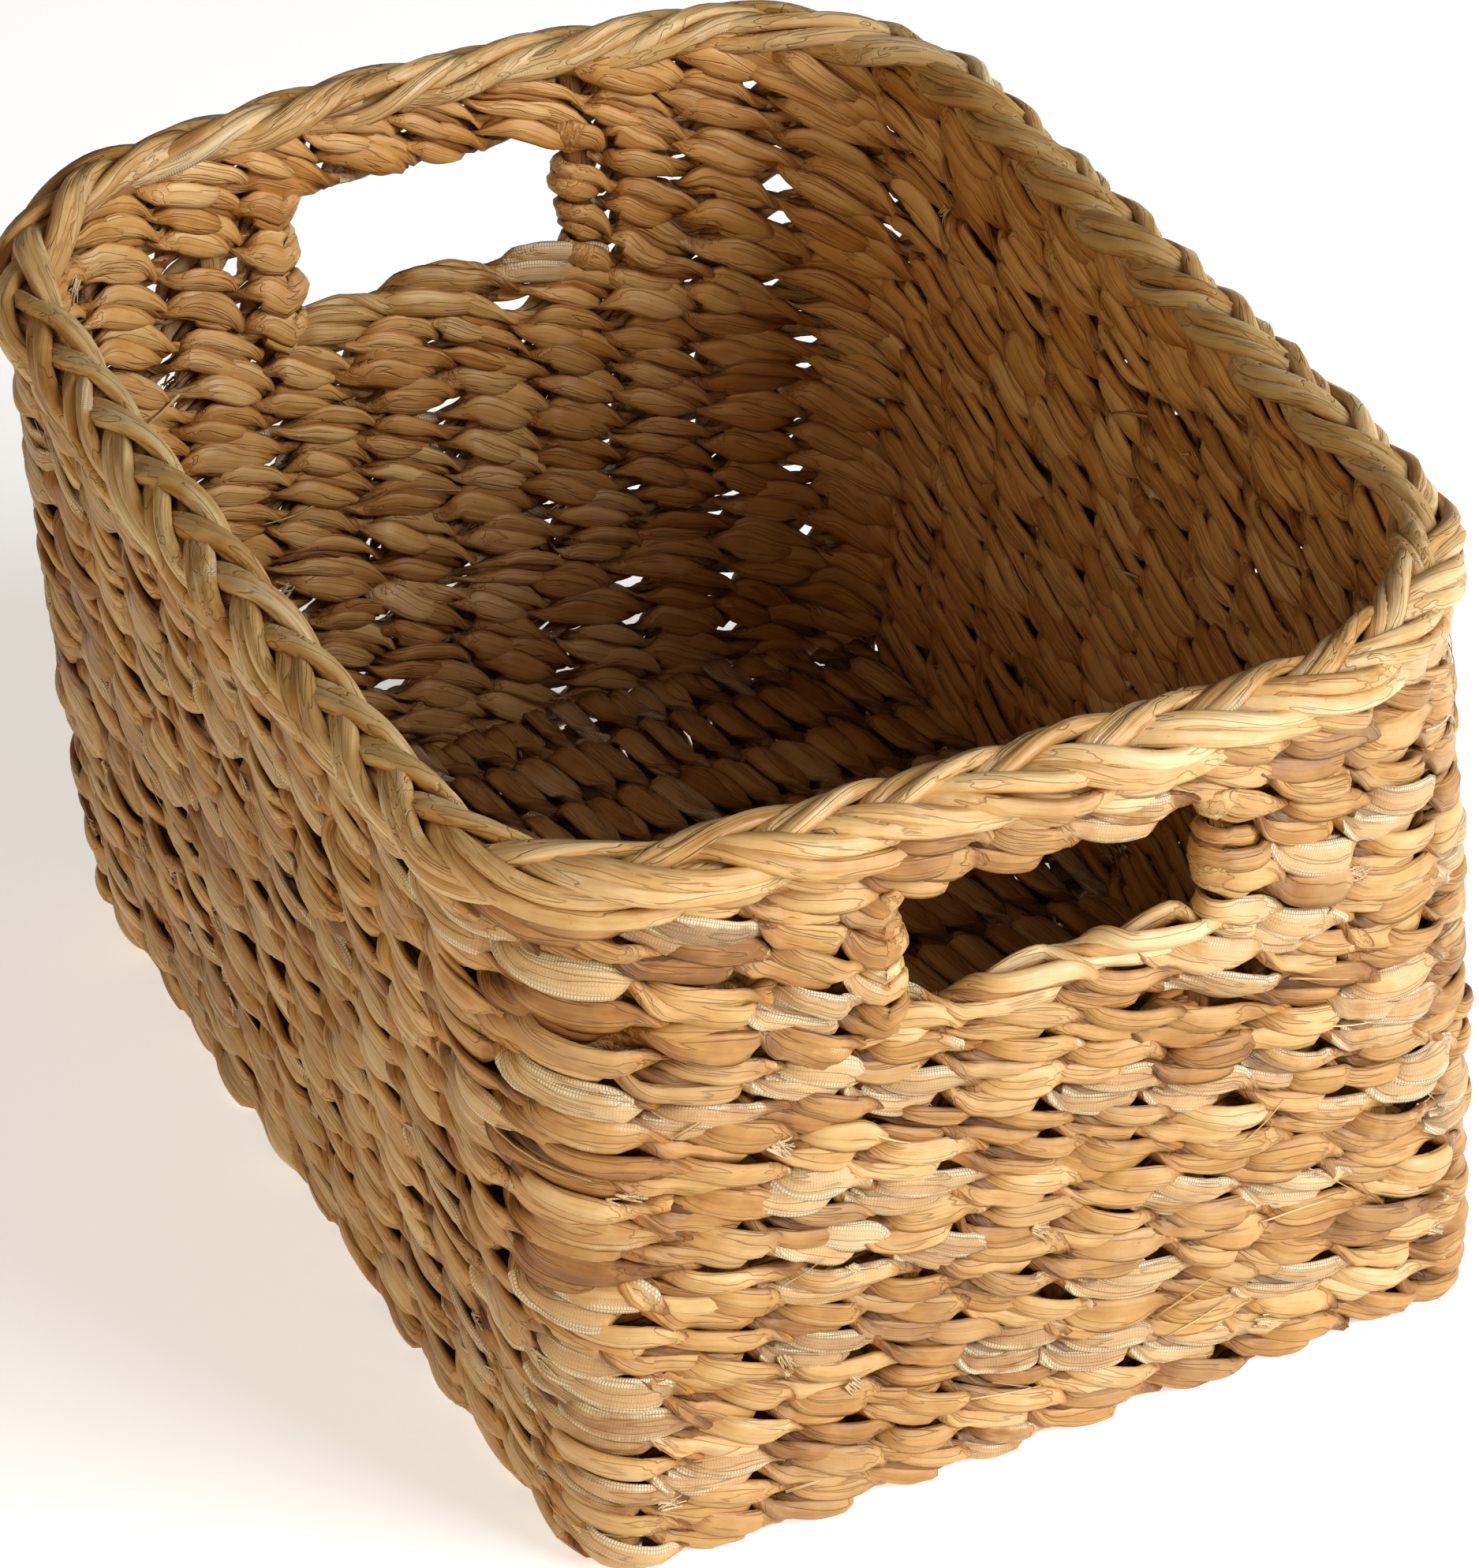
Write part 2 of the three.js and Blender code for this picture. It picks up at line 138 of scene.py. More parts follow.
# Heights in millimetres. The levels are those of the stakes in the base.
SIDE_STAKE_LEVEL = 4.4
END_STAKE_LEVEL = 7.2
STAKE_TOP = 204.0
UNDER_SLOT = 150.0
CORNER_FOOT = 3.0
POST_FOOT = 140.0
SILL_PLACE = 150.6
SILL_END_PLACE = 149.6

# Frayed patches and single loose slivers: lengths in millimetres, aims in radians.
PATCH = {
    "beside": 0.12, "aim": (-1.2, 0.3), "length": (2.5, 6), "fan": 0.3, "lift": (-0.3, 0.8), "curl": 1.0,
    "pith": 1.0,
}
STRAY = {
    "beside": 0.3, "aim": (-0.6, 0.6), "length": (12, 26), "fan": 0.1, "lift": (0.2, 1.2), "curl": 1.5,
    "pith": 0.3,
}
PATCH_SLIVERS = (10, 18)
PATCH_SPREAD = 0.9
SLIVER_RINGS = 6
MEAN_PITCH = 28

# A pith under nought marks a leaf with the warmer brown of inner_tint. On the wall's inner faces this warmth
# and the tone raised by INSIDE_LIGHT_TONE are painted light: warm bounce light and extra light inside the
# basket.
WARM_PITH = -0.5
INSIDE_LIGHT_TONE = 0.13

# A leaf's map has one unit for this many millimetres, and nothing lies lower than FLOOR_GAP.
MAP_UNIT = 10
FLOOR_GAP = 0.1

# The floor's half side and the camera's place in metres, its turns in radians and its lens in millimetres.
FLOOR_REACH = 6.0
CAMERA_PLACE = (-0.57988, -1.32640, 1.06840)
CAMERA_TURN, CAMERA_TILT, CAMERA_ROLL = -0.41302816, 0.97895943, -0.05566375
FOCAL_LENGTH = 148.31


def smooth(share):
    """Rises from nought to one as 3t^2 - 2t^3, and stays level outside that."""
    t = np.clip(share, 0, 1)
    return t * t * (3 - 2 * t)


def axes(count):
    """The X, Y and Z axes, each of them once for every point."""
    return np.repeat(np.eye(3)[:, None], count, 1)


def unit(ways):
    """The ways, each at a length of one."""
    return ways / np.linalg.norm(ways, axis=-1, keepdims=True)


def distances(points):
    """How far each point of a line is along it."""
    return np.concatenate([[0], np.cumsum(np.linalg.norm(np.diff(points, axis=0), axis=1))])


class Wall:
    """The middle line of the wall at every height, with the way out of it and the way along it.

    A plan is four straight runs joined by quarter circles. The runs are bowed outward by
    bow * (1 - (place / half)^2), times the cube of the point's own share of the way out. The plan at a height
    is the base plan blended with the rim plan, plus a swell of belly * 4s(1 - s). Bows are for the near,
    right, far and left walls, and radii for the corners from the near left one on."""

    ROWS = 24
    TOP_SHARE = 1.12
    CORNER_POINTS = 33
    LINE_POINTS = 2401
    WAY_REACH = 4

    def __init__(self, sizes):
        self.height = sizes.wall_height / MM
        self.rim_half = np.array([sizes.rim_half_width, sizes.rim_half_length]) / MM
        self.base_half = np.array([sizes.base_half_width, sizes.base_half_length]) / MM
        self.rim_radii = np.array([42.2, 77.3, 48.5, 50.6])
        self.base_radius = 13.6
        self.rim_bow = np.array([7.1, 5.8, 20.5, 3.9])
        self.base_bow_share = 0.4
        self.belly = sizes.belly / MM
        self.lift_from, self.lift_to = 150.0, 199.0
        self.end_lift, self.right_drop, self.far_lift = 5.6, 2.5, 2.3
        shares = np.linspace(0, self.TOP_SHARE, self.ROWS)
        self.line = np.array([self.row(share) for share in shares])
        self.way = unit(np.roll(self.line, -self.WAY_REACH, 1) - np.roll(self.line, self.WAY_REACH, 1))

    def row(self, share):
        """Points of the middle line at one height, TABLE_STEPS to a stake, from the near left corner."""
        half = self.base_half + (self.rim_half - self.base_half) * share
        radii = self.base_radius + (self.rim_radii - self.base_radius) * share
        radii = np.maximum(radii, self.base_radius)
        bow = self.rim_bow * (self.base_bow_share + (1 - self.base_bow_share) * share)
        quarter = np.linspace(0, math.pi / 2, self.CORNER_POINTS)
        parts = []
        for corner, sign in enumerate(np.array([(-1, -1), (1, -1), (1, 1), (-1, 1)])):
            angle = math.pi + corner * math.pi / 2 + quarter
            round_it = radii[corner] * np.stack([np.cos(angle), np.sin(angle)], 1)
            parts.append(sign * (half - radii[corner]) + round_it)
        middle = self.CORNER_POINTS // 2
        loop = np.vstack([parts[0][middle:], *parts[1:], parts[0][: middle + 1]])
        run = distances(loop)
        corner_at = [0, *run[self.CORNER_POINTS * np.arange(1, 4)], run[-1]]
        even = np.linspace(0, run[-1], self.LINE_POINTS)
        x, y = np.interp(even, run, loop[:, 0]), np.interp(even, run, loop[:, 1])
        side = np.clip(1 - (y / half[1]) ** 2, 0, 1) * np.where(x < 0, bow[3], bow[1])
        end = np.clip(1 - (x / half[0]) ** 2, 0, 1) * np.where(y < 0, bow[0], bow[2])
        x = x + np.sign(x) * side * np.abs(x / half[0]) ** 3
        y = y + np.sign(y) * end * np.abs(y / half[1]) ** 3
        swell = self.belly * 4 * share * (1 - share)
        x, y = x * (1 + swell / half[0]), y * (1 + swell / half[1])
        marks = [0.0]
        ends = (np.arange(END_STAKES) - (END_STAKES - 1) / 2) * END_PITCH
        sides = (np.arange(SIDE_STAKES) - (SIDE_STAKES - 1) / 2) * SIDE_PITCH
        for wall, (places, value) in enumerate(((ends, x), (sides, y), (ends, -x), (sides, -y))):
            here = (even >= corner_at[wall]) & (even <= corner_at[wall + 1])
            marks += list(np.interp(places, value[here], even[here]))
            marks.append(corner_at[wall + 1])
        counted = np.arange(STAKES_ROUND * TABLE_STEPS) / TABLE_STEPS
        at = np.interp(counted, np.arange(STAKES_ROUND + 1), marks)
        return np.stack([np.interp(at, even, x), np.interp(at, even, y)], 1)

    def read(self, table, stake, height):
        """A table's values between its heights and stakes, blended from the four entries round each."""
        column = np.mod(stake, STAKES_ROUND) * TABLE_STEPS
        row = np.clip(height / self.height / self.TOP_SHARE * (self.ROWS - 1), 0, self.ROWS - 1.001)
        c0, r0 = np.floor(column).astype(int), np.floor(row).astype(int)
        c, r = (column - c0)[:, None], (row - r0)[:, None]
        count = STAKES_ROUND * TABLE_STEPS
        c0, c1 = c0 % count, (c0 + 1) % count
        low = table[r0, c0] * (1 - c) + table[r0, c1] * c
        high = table[r0 + 1, c0] * (1 - c) + table[r0 + 1, c1] * c
        return low * (1 - r) + high * r

    def frames(self, stake, height):
        """Places on the middle line, and the ways out, along and up there."""
        flat = self.read(self.line, stake, height)
        way = unit(self.read(self.way, stake, height))
        lift = np.clip((height - self.lift_from) / (self.lift_to - self.lift_from), 0, 1)
        (x, y), half = flat.T, self.rim_half
        rise = self.end_lift * (y / half[1]) ** 2 - self.right_drop * x / half[0]
        rise += self.far_lift * y / half[1]
        none = np.zeros(len(flat))
        origin = np.column_stack([flat, height + lift * rise])
        out = np.column_stack([way[:, 1], -way[:, 0], none])
        return origin, out, np.column_stack([way, none]), axes(len(flat))[2]


class Floor:
    """The base, read like the wall: stakes are counted along Y, and a row's height is its place along X."""

    def __init__(self, middle):
        self.middle = middle

    def frames(self, stake, height):
        """Places on the base's middle plane, with up as the way out and X as the way up."""
        x, y, z = axes(len(stake))
        return np.column_stack([height, stake * SIDE_PITCH, self.middle * z[:, 2]]), z, y, x


def spread(values, stake, soft=0.2):
    """Values held level round each stake, which change in a smooth step halfway to the next one."""
    low = np.floor(stake).astype(int)
    share = smooth((stake - low - 0.5) / (2 * soft) + 0.5)
    count = len(values)
    return values[low % count] * (1 - share) + values[(low + 1) % count] * share


def twine(counted, stake, phase, centre, look, chance):
    """One of a pair of leaf bundles twined round the stakes, as a row of columns for each ring.

    A leg starts `switch` past a stake, and u goes from 0 to 1 along it. The bundle moves to the wall's other
    side by 1 - exp(-(u / dive)^1.5), steeply at first, so that a float ends bluntly over the next one. With
    a = pi * (counted - phase), it bulges by 0.78 + 0.3 |cos(a - 0.06 pi)|, and its height is
    -fall * sin(a) - sag * cos(2a): a float starts high, runs down over its stake and turns up a little at its
    end. Its face turns half round in the first `roll` of the leg. Its width falls to the waist by
    exp(-((u - waist_at) / pinch)^2), and further where there is a gap. It sinks by `sink` of what its width
    lacks, which keeps a float's lower edge straight."""
    turn = math.pi * (counted - phase)
    since = counted - phase - look["switch"]
    leg = np.floor(since)
    u = since - leg
    side = np.where(leg % 2 == 1, 1, -1)
    moved = 1 - np.exp(-((u / look["dive"]) ** 1.5))
    pick = {name: spread(values, counted) for name, values in chance.items()}
    rows = np.zeros((len(counted), COLUMNS))
    rows[:, STAKE] = stake
    bulge = 0.78 + 0.3 * np.abs(np.cos(turn - 0.06 * math.pi))
    rows[:, OUT] = look["reach"] * side * (2 * moved - 1) * bulge * (1 + VARIES["out"] * pick["out"])
    fall = look["fall"] * (1 + VARIES["fall"] * pick["roll"])
    rows[:, HEIGHT] = centre + (-fall * np.sin(turn) - look["sag"] * np.cos(2 * turn))
    rows[:, HEIGHT] += VARIES["height"] * pick["height"]
    face = math.pi * (leg + smooth(u / look["roll"])) + VARIES["turn"] * pick["roll"]
    rows[:, FACE_OUT] = np.cos(face)
    rows[:, FACE_UP] = -np.sin(face)
    narrow = np.exp(-((((u - look["waist_at"] + 0.5) % 1 - 0.5) / look["pinch"]) ** 2))
    blunt = 1 + look["blunt"] * np.sin(2 * turn)
    width = look["width"] - (look["width"] - look["waist"]) * narrow
    rows[:, WIDTH] = width * blunt * (1 + VARIES["width"] * pick["width"])
    thick_waist = look["thick_waist"] * (1 + VARIES["full"] * pick["full"])
    rows[:, THICK] = look["thick"] + (thick_waist - look["thick"]) * narrow
    rows[:, APART] = look["apart"] * (1 + VARIES["apart"] * pick["apart"])
    rows[:, WIDTH] += look["wider"] * (look["apart"] - rows[:, APART])
    narrowed = narrow * pick["gap"]
    rows[:, WIDTH] -= look["gap"] * narrowed
    rows[:, APART] -= look["gap_apart"] * narrowed
    rows[:, HEIGHT] -= look["sink"] * (look["width"] - rows[:, WIDTH])
    # Painted shade: the tone falls by tuck where a float sinks towards the wall's middle, at its ends by the
    # crossings.
    tucked = (1 - np.abs(2 * moved - 1) * bulge).clip(0)
    rows[:, TONE] = spread(chance["tone"], counted, 0.06) - look["tuck"] * tucked
    rows[:, PITH] = spread(chance["pith"], counted, 0.06)
    # Painted light: inner floats get the warm tint and a higher tone, for the warm light inside the basket.
    if look["warm_inside"]:
        inside = rows[:, OUT] < 0
        rows[inside, PITH] = WARM_PITH
        rows[inside, TONE] += INSIDE_LIGHT_TONE
    rows[:, SEED] = pick["seed"]
    return rows


def chances(draw, count=STAKES_ROUND):
    """What differs from float to float: sizes, place, tone, pith and gaps, drawn for each stake. Tones also
    drift over four stakes, and the seed walks by small steps that add up to nought, so that it closes."""
    drift = draw.normal(0, 1, count)
    drift = (drift + np.roll(drift, 1) + np.roll(drift, 2) + np.roll(drift, 3)) / 2
    step = draw.uniform(-0.4, 0.4, count)
    chance = {name: draw.normal(0, 1, count).clip(*limits) for name, limits in CHANCE_LIMITS.items()}
    chance["seed"] = np.cumsum(step - step.mean())
    chance["tone"] = (0.60 + 0.085 * draw.normal(0, 1, count) + 0.05 * drift).clip(0.05, 0.98)
    chance["pith"] = draw.uniform(0, 1, count) ** 2
    at = np.arange(count)
    far = (at > FAR_STAKES[0]) & (at < FAR_STAKES[1])
    gapes = draw.uniform(0, 1, count) < np.interp(at, GAP_STAKES, GAP_CHANCES)
    chance["gap"] = gapes * np.where(far, FAR_GAP, 1)
    return chance


def leaf_look(sizes, **changes):
    """The sizes that shape a twined leaf bundle: millimetres, shares of a leg (switch, dive, roll, waist_at,
    pinch) and other shares (blunt, wider, sink, tuck). The share tuck is painted shade: it darkens a float
    where it sinks towards the wall's middle."""
    return {
        "reach": sizes.wall_thickness / MM / 2 - 1.6, "fall": 3.7, "sag": 0.4, "switch": 0.37, "dive": 0.27,
        "roll": 0.5, "waist_at": 0.22, "pinch": 0.2, "width": sizes.leaf_width / MM,
        "waist": sizes.leaf_waist / MM, "thick": 3.2, "thick_waist": 4.7, "apart": 2.2, "gap": 2.7,
        "gap_apart": 0.9, "blunt": 0.08, "wider": 0.9, "sink": 0.4, "tuck": 0.24, "warm_inside": True,
    } | changes


def bundle(place, rows, closed, draw, lead=LEAD):
    """A bundle's two leaves, side by side across its flat face and the lower one a little further on, with an
    inner leaf nearer to the wall's middle, darker as painted shade in the gaps of the crossings. It fills the
    crossings, where it swells by `swell` of the bundle's thickness over `swells_from`."""
    inner = rows[::2].copy()
    inner[:, OUT] *= INNER["out"]
    inner[:, WIDTH] *= INNER["width"]
    inner[:, THICK] = INNER["thick"] + INNER["swell"] * (inner[:, THICK] - INNER["swells_from"]).clip(0, 2)
    # Painted shade: the inner leaf's tone is lowered so that the gaps at the crossings look shaded.
    inner[:, TONE] -= INNER["darker"]
    inner[:, SEED] += draw.uniform(0, 20)
    skins = [surface(place, inner, closed, 0, 0, INNER_SIDES)]
    for sign in (1, -1):
        leaf = rows.copy()
        leaf[:, STAKE] -= sign * lead
        leaf[:, ASIDE] = sign * rows[:, APART]
        leaf[:, AHEAD] = -STEP_BACK * sign
        leaf[:, WIDTH] *= LEAF_WIDTHS[sign]
        leaf[:, TONE] += draw.uniform(-0.05, 0.05)
        leaf[:, SEED] += draw.uniform(0, 20)
        skins.append(surface(place, leaf, closed))
    return skins


def surface(place, rows, closed, folds=1, crease=0.44, sides=LEAF_SIDES):
    """A leaf bundle's skin: a flattened outline carried along its path, turned to its face.

    The outline at angle v is width / 2 * cos(v) across and thick / 2 * sin(v) * |sin(v)|^0.45 along the face.
    Its outer half is pressed in along each fold by crease * exp(-((cos(v) - fold) / 0.2)^2), and a fold
    wanders across the face as a sine of the leaf's seed. Open ends are closed by a fan."""
    origin, out, along, up = place.frames(rows[:, STAKE], rows[:, HEIGHT])
    path = origin + out * rows[:, OUT, None] + along * rows[:, ALONG, None]
    way = unit(np.roll(path, -1, 0) - np.roll(path, 1, 0) if closed else np.gradient(path, axis=0))
    face = out * rows[:, FACE_OUT, None] + along * rows[:, FACE_ALONG, None] + up * rows[:, FACE_UP, None]
    face = unit(face - way * (face * way).sum(1, keepdims=True))
    across = np.cross(way, face)
    path = path + across * rows[:, ASIDE, None] + face * rows[:, AHEAD, None]
    angle = np.linspace(0, FULL_TURN, sides, endpoint=False)
    wide, deep = np.cos(angle), np.sin(angle) * np.abs(np.sin(angle)) ** 0.45
    seed = rows[:, SEED, None]
    pressed = sum(
        np.exp(-((wide - 0.75 * np.sin(seed * (3.1 + 2.3 * i) + 2.1 * i)) / 0.2) ** 2) for i in range(folds))
    height = deep * (1 - crease * pressed * (np.sin(angle) > 0.05))
    half = rows[:, WIDTH, None] / 2
    points = (
        path[:, None]
        + across[:, None] * (half * wide)[:, :, None]
        + face[:, None] * (rows[:, THICK, None] / 2 * height)[:, :, None]
    )
    count, sides = points.shape[:2]
    run = distances(path)
    ring = np.arange(count if closed else count - 1)[:, None]
    turn = np.arange(sides)[None]
    steps = ((0, 0), (1, 0), (1, 1), (0, 1))
    quads = np.stack([(ring + i) % count * sides + (turn + j) % sides for i, j in steps], 2)
    girth = distances(np.column_stack([wide, 0.3 * deep]))
    girth = np.append(girth, girth[-1] + girth[1]) * (rows[:, WIDTH].mean() / 2)
    run = np.append(run, run[-1] + run[1])
    uv = np.stack([np.stack(np.broadcast_arrays(run[ring + i], girth[turn + j]), 2) for i, j in steps], 2)
    given = {"tone": TONE, "pith": PITH, "seed": SEED}
    values = {key: np.repeat(rows[:, column], sides) for key, column in given.items()}
    values["side"] = np.tile(wide, count)
    vertices, faces, uv = points.reshape(-1, 3), quads.reshape(-1, 4), uv.reshape(-1, 4, 2)
    if not closed:
        vertices = np.vstack([vertices, path[:1], path[-1:]])
        values = {name: np.append(v, v[[0, -1]]) for name, v in values.items()}
        first, last = len(vertices) - 2, len(vertices) - 1
        turn, beside, last_ring = turn[0], (turn[0] + 1) % sides, (count - 1) * sides
        near = np.stack([np.full(sides, first), turn, beside, beside], 1)
        far = np.stack([np.full(sides, last), last_ring + beside, last_ring + turn, last_ring + turn], 1)
        faces = np.vstack([faces, near, far])
        uv = np.vstack([uv, np.zeros((2 * sides, 4, 2))])
    return vertices, faces, uv, values


def add_object(name, data):
    """A new object in the scene, which shows the data."""
    item = bpy.data.objects.new(name, data)
    bpy.context.scene.collection.objects.link(item)
    return item


def make_piece(name, surfaces, nodes, slot="weave_leaf"):
    """Joins skins into one mesh object, with its map, values and place in the frame. A face whose last two
    corners are the same is a triangle."""
    points, quads, maps, values = zip(*surfaces)
    shifts = np.cumsum([0, *map(len, points)])
    vertices, maps = np.vstack(points) * MM, np.vstack(maps) / MAP_UNIT
    faces = np.vstack([own + shift for own, shift in zip(quads, shifts)])
    vertices[:, 2] = np.maximum(vertices[:, 2], FLOOR_GAP * MM)
    corners = np.ones(faces.shape, bool)
    corners[:, 3] = faces[:, 2] != faces[:, 3]
    sizes = corners.sum(1)
    mesh = bpy.data.meshes.new(name)
    mesh.vertices.add(len(vertices))
    mesh.vertices.foreach_set("co", vertices.astype(np.float32).ravel())
    mesh.loops.add(int(sizes.sum()))
    mesh.loops.foreach_set("vertex_index", faces[corners].astype(np.int32))
    mesh.polygons.add(len(faces))
    mesh.polygons.foreach_set("loop_start", (np.cumsum(sizes) - sizes).astype(np.int32))
    mesh.update(calc_edges=True)
    mesh.polygons.foreach_set("use_smooth", np.ones(len(faces), bool))
    layer = mesh.uv_layers.new(name="strand")
    layer.uv.foreach_set("vector", maps[corners].astype(np.float32).ravel())
    for key in values[0]:
        attribute = mesh.attributes.new(key, "FLOAT", "POINT")
        joined = np.concatenate([own[key] for own in values])
        attribute.data.foreach_set("value", joined.astype(np.float32))
    mesh.validate()
    piece = add_object(name, mesh)
    mesh.materials.append(material_for(slot))
    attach(piece, BODY)
    if nodes:
        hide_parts(*nodes)
    return piece


class Wire:
    """A socket of a material's nodes. Arithmetic on it adds Math nodes."""

    def __init__(self, tree, socket=None):
        self.tree, self.socket = tree, socket

    def node(self, kind, settings=None, inputs=None, output=0):
        """Adds a node of any kind: its settings first, then its inputs as values or wires."""
        node = self.tree.nodes.new(kind)
        for key, value in (settings or {}).items():
            if key == "stops":
                ramp = node.color_ramp
                while len(ramp.elements) < len(value):
                    ramp.elements.new(0.5)
                for element, (place, colour) in zip(ramp.elements, value):
                    element.position, element.color = place, (*colour, 1)
            else:
                setattr(node, key, value)
        for key, value in (inputs or {}).items():
            if isinstance(value, Wire):
                self.tree.links.new(value.socket, node.inputs[key])
            else:
                node.inputs[key].default_value = value
        return Wire(self.tree, node.outputs[output] if node.outputs else None)

    def math(self, operation, *others):
        """A Math node of this wire and others."""
        return self.node("ShaderNodeMath", {"operation": operation}, dict(enumerate((self, *others))))

    def __add__(self, other):
        return self.math("ADD", other)

    def __sub__(self, other):
        return self.math("SUBTRACT", other)

    def __rsub__(self, other):
        return self.node("ShaderNodeMath", {"operation": "SUBTRACT"}, {0: other, 1: self})

    def __mul__(self, other):
        return self.math("MULTIPLY", other)

    __radd__, __rmul__ = __add__, __mul__

    def step(self, low, high):
        """Rises smoothly from nought at low to one at high."""
        settings = {"interpolation_type": "SMOOTHSTEP"}
        return self.node("ShaderNodeMapRange", settings, {0: self, 1: low, 2: high})

    def vector(self, x, y, z):
        """A vector of three values or wires."""
        return self.node("ShaderNodeCombineXYZ", None, {0: x, 1: y, 2: z})

    def noise(self, vector, detail=2.0, rough=0.5):
        """Noise from 0 to 1 at the scale of the vector's own units."""
        inputs = {"Vector": vector, "Scale": 1.0, "Detail": detail, "Roughness": rough}
        return self.node("ShaderNodeTexNoise", None, inputs)

    def mix(self, share, first, second, blend="MIX"):
        """A blend of two colours, each of them a wire or three values."""
        first, second = (c if isinstance(c, Wire) else (*c, 1) for c in (first, second))
        settings = {"data_type": "RGBA", "blend_type": blend}
        return self.node("ShaderNodeMix", settings, {0: share, 6: first, 7: second}, 2)

    def value(self, name):
        """A value that the mesh holds at its points."""
        return self.node("ShaderNodeAttribute", {"attribute_name": name}, None, 2)


def leaf_material(name, looks, shade, gloss, relief, khaki):
    """Dried leaf. Its tone, changed by strips, clouds and fibres along it, picks a colour from dark to pale;
    at its borders the tone is lowered as painted shade between the lobes. Over that come khaki stretches, a
    warmer brown where the pith is under nought, which on the wall's inner faces is painted warm bounce light,
    pale pith with a ladder of cells at some borders, dark folds and fibres, and specks."""
    material = bpy.data.materials.new(name)
    material.use_nodes = True
    tree = material.node_tree
    tree.nodes.clear()
    wire = Wire(tree)
    along = wire.node("ShaderNodeSeparateXYZ", None, {0: wire.node("ShaderNodeUVMap", {"uv_map": "strand"})})
    across = Wire(tree, along.socket.node.outputs[1])
    tone, pith, seed, side = (wire.value(key) for key in ("tone", "pith", "seed", "side"))

    def grain(along_scale, across_scale, place, detail, rough):
        """Noise stretched along the leaf, at another place for each kind of grain and each seed."""
        at = wire.vector(along * along_scale, across * across_scale, seed * 9.0 + place)
        return wire.noise(at, detail, rough)

    fibre = grain(0.3, 15.0, 0.0, 3.0, 0.6)
    strip = grain(0.22, 3.2, 40.0, 2.0, 0.5)
    cloud = grain(0.9, 1.3, 80.0, 3.0, 0.6)
    speck = grain(6.0, 14.0, 120.0, 2.0, 0.7)
    grey = wire.noise(wire.vector(along * 0.15, seed * 5.0, 3.0), 1.0).step(0.52, 0.66)
    fold = 1.0 - (strip - 0.5).math("ABSOLUTE").step(0.0, 0.022)
    out = side.math("ABSOLUTE")
    level = tone + (strip - 0.5) * 0.5 + (cloud - 0.5) * 0.5 + (fibre - 0.5) * 0.14 + shade
    # Painted shade: the tone is lowered near a leaf's borders, as dark outlines standing in for the shade
    # between lobes.
    level = level - out.step(0.72, 1.0) * 0.19
    stops = (
        (0.0, looks.dark_leaf), (0.3, looks.brown_leaf), (0.52, looks.honey_leaf), (0.74, looks.straw_leaf),
        (1.0, looks.pale_leaf))
    colour = wire.node("ShaderNodeValToRGB", {"stops": stops}, {0: level})
    # The warm tint; on the wall's inner faces it is painted warm bounce light.
    warm = (pith * -2.0).step(0.0, 1.0)
    border = (out + (cloud - 0.5) * 0.9).step(0.45, 0.8)
    patch = (pith + (cloud - 0.5) * 0.8).step(0.48, 0.74)
    pithy = patch * (0.25 + 0.75 * border)
    walls = ((along * 13.0 + fibre * 1.5).math("FRACT") - 0.5).math("ABSOLUTE").step(0.3, 0.48)
    rungs = ((across * 11.0).math("FRACT") - 0.5).math("ABSOLUTE").step(0.36, 0.48)
    ladder = walls.math("MAXIMUM", rungs)
    for share, over, blend in (
        (grey * khaki, looks.khaki_leaf, "MIX"),
        (warm * 0.8, looks.inner_tint, "MULTIPLY"),
        (pithy, wire.mix(ladder * 0.55, looks.pith, looks.honey_leaf), "MIX"),
        (fold * 0.3, looks.brown_leaf, "MULTIPLY"),
        (fibre.step(0.5, 0.28) * 0.121, looks.brown_leaf, "MULTIPLY"),
        (speck.step(0.70, 0.78) * 0.5, looks.dark_leaf, "MIX"),
    ):
        colour = wire.mix(share, colour, over, blend)
    rough = gloss + (fibre - 0.5) * 0.25 + pithy * 0.2
    height = (fibre - 0.5) * 0.35 + (strip - 0.5) * 1.5 - fold * 0.35 - ladder * pithy * 0.35
    bump = wire.node("ShaderNodeBump", None, {"Strength": relief, "Distance": 0.9 * MM, "Height": height})
    shader = wire.node("ShaderNodeBsdfPrincipled", None, {
        "Base Color": colour, "Roughness": rough, "Normal": bump, "Specular IOR Level": 0.34,
    })
    wire.node("ShaderNodeOutputMaterial", None, {"Surface": shader})
    return material


@functools.cache
def material_for(slot):
    """The material of a slot, made once, with its shade, roughness, relief and share of khaki."""
    looks = bpy.context.scene.basket_looks
    return leaf_material(slot, looks, *{
        "weave_leaf": (0.0, looks.gloss, 0.8, 0.28),
        "rim_leaf": (0.18, looks.gloss - 0.03, 0.8, 0.06),
        "stalk": (-0.3, looks.gloss + 0.15, 1.0, 0.28),
    }[slot])


def course_line(stake, middle):
    """A course's height along it: its middle, with three waves of 0.6 mm to a round."""
    return middle + 0.6 * np.sin(stake * FULL_TURN * 3 / STAKES_ROUND + middle / 25)


def unsteady(stake, draw):
    """How far a course's crossings lie off their even places, in stakes: up to 0.1 for the whole course, and
    0.14 times a normal chance for each stake."""
    shift, each = draw.uniform(-0.1, 0.1), draw.normal(0, 1, STAKES_ROUND).clip(-1.6, 1.6)
    return shift + 0.14 * spread(each, stake, 0.5)


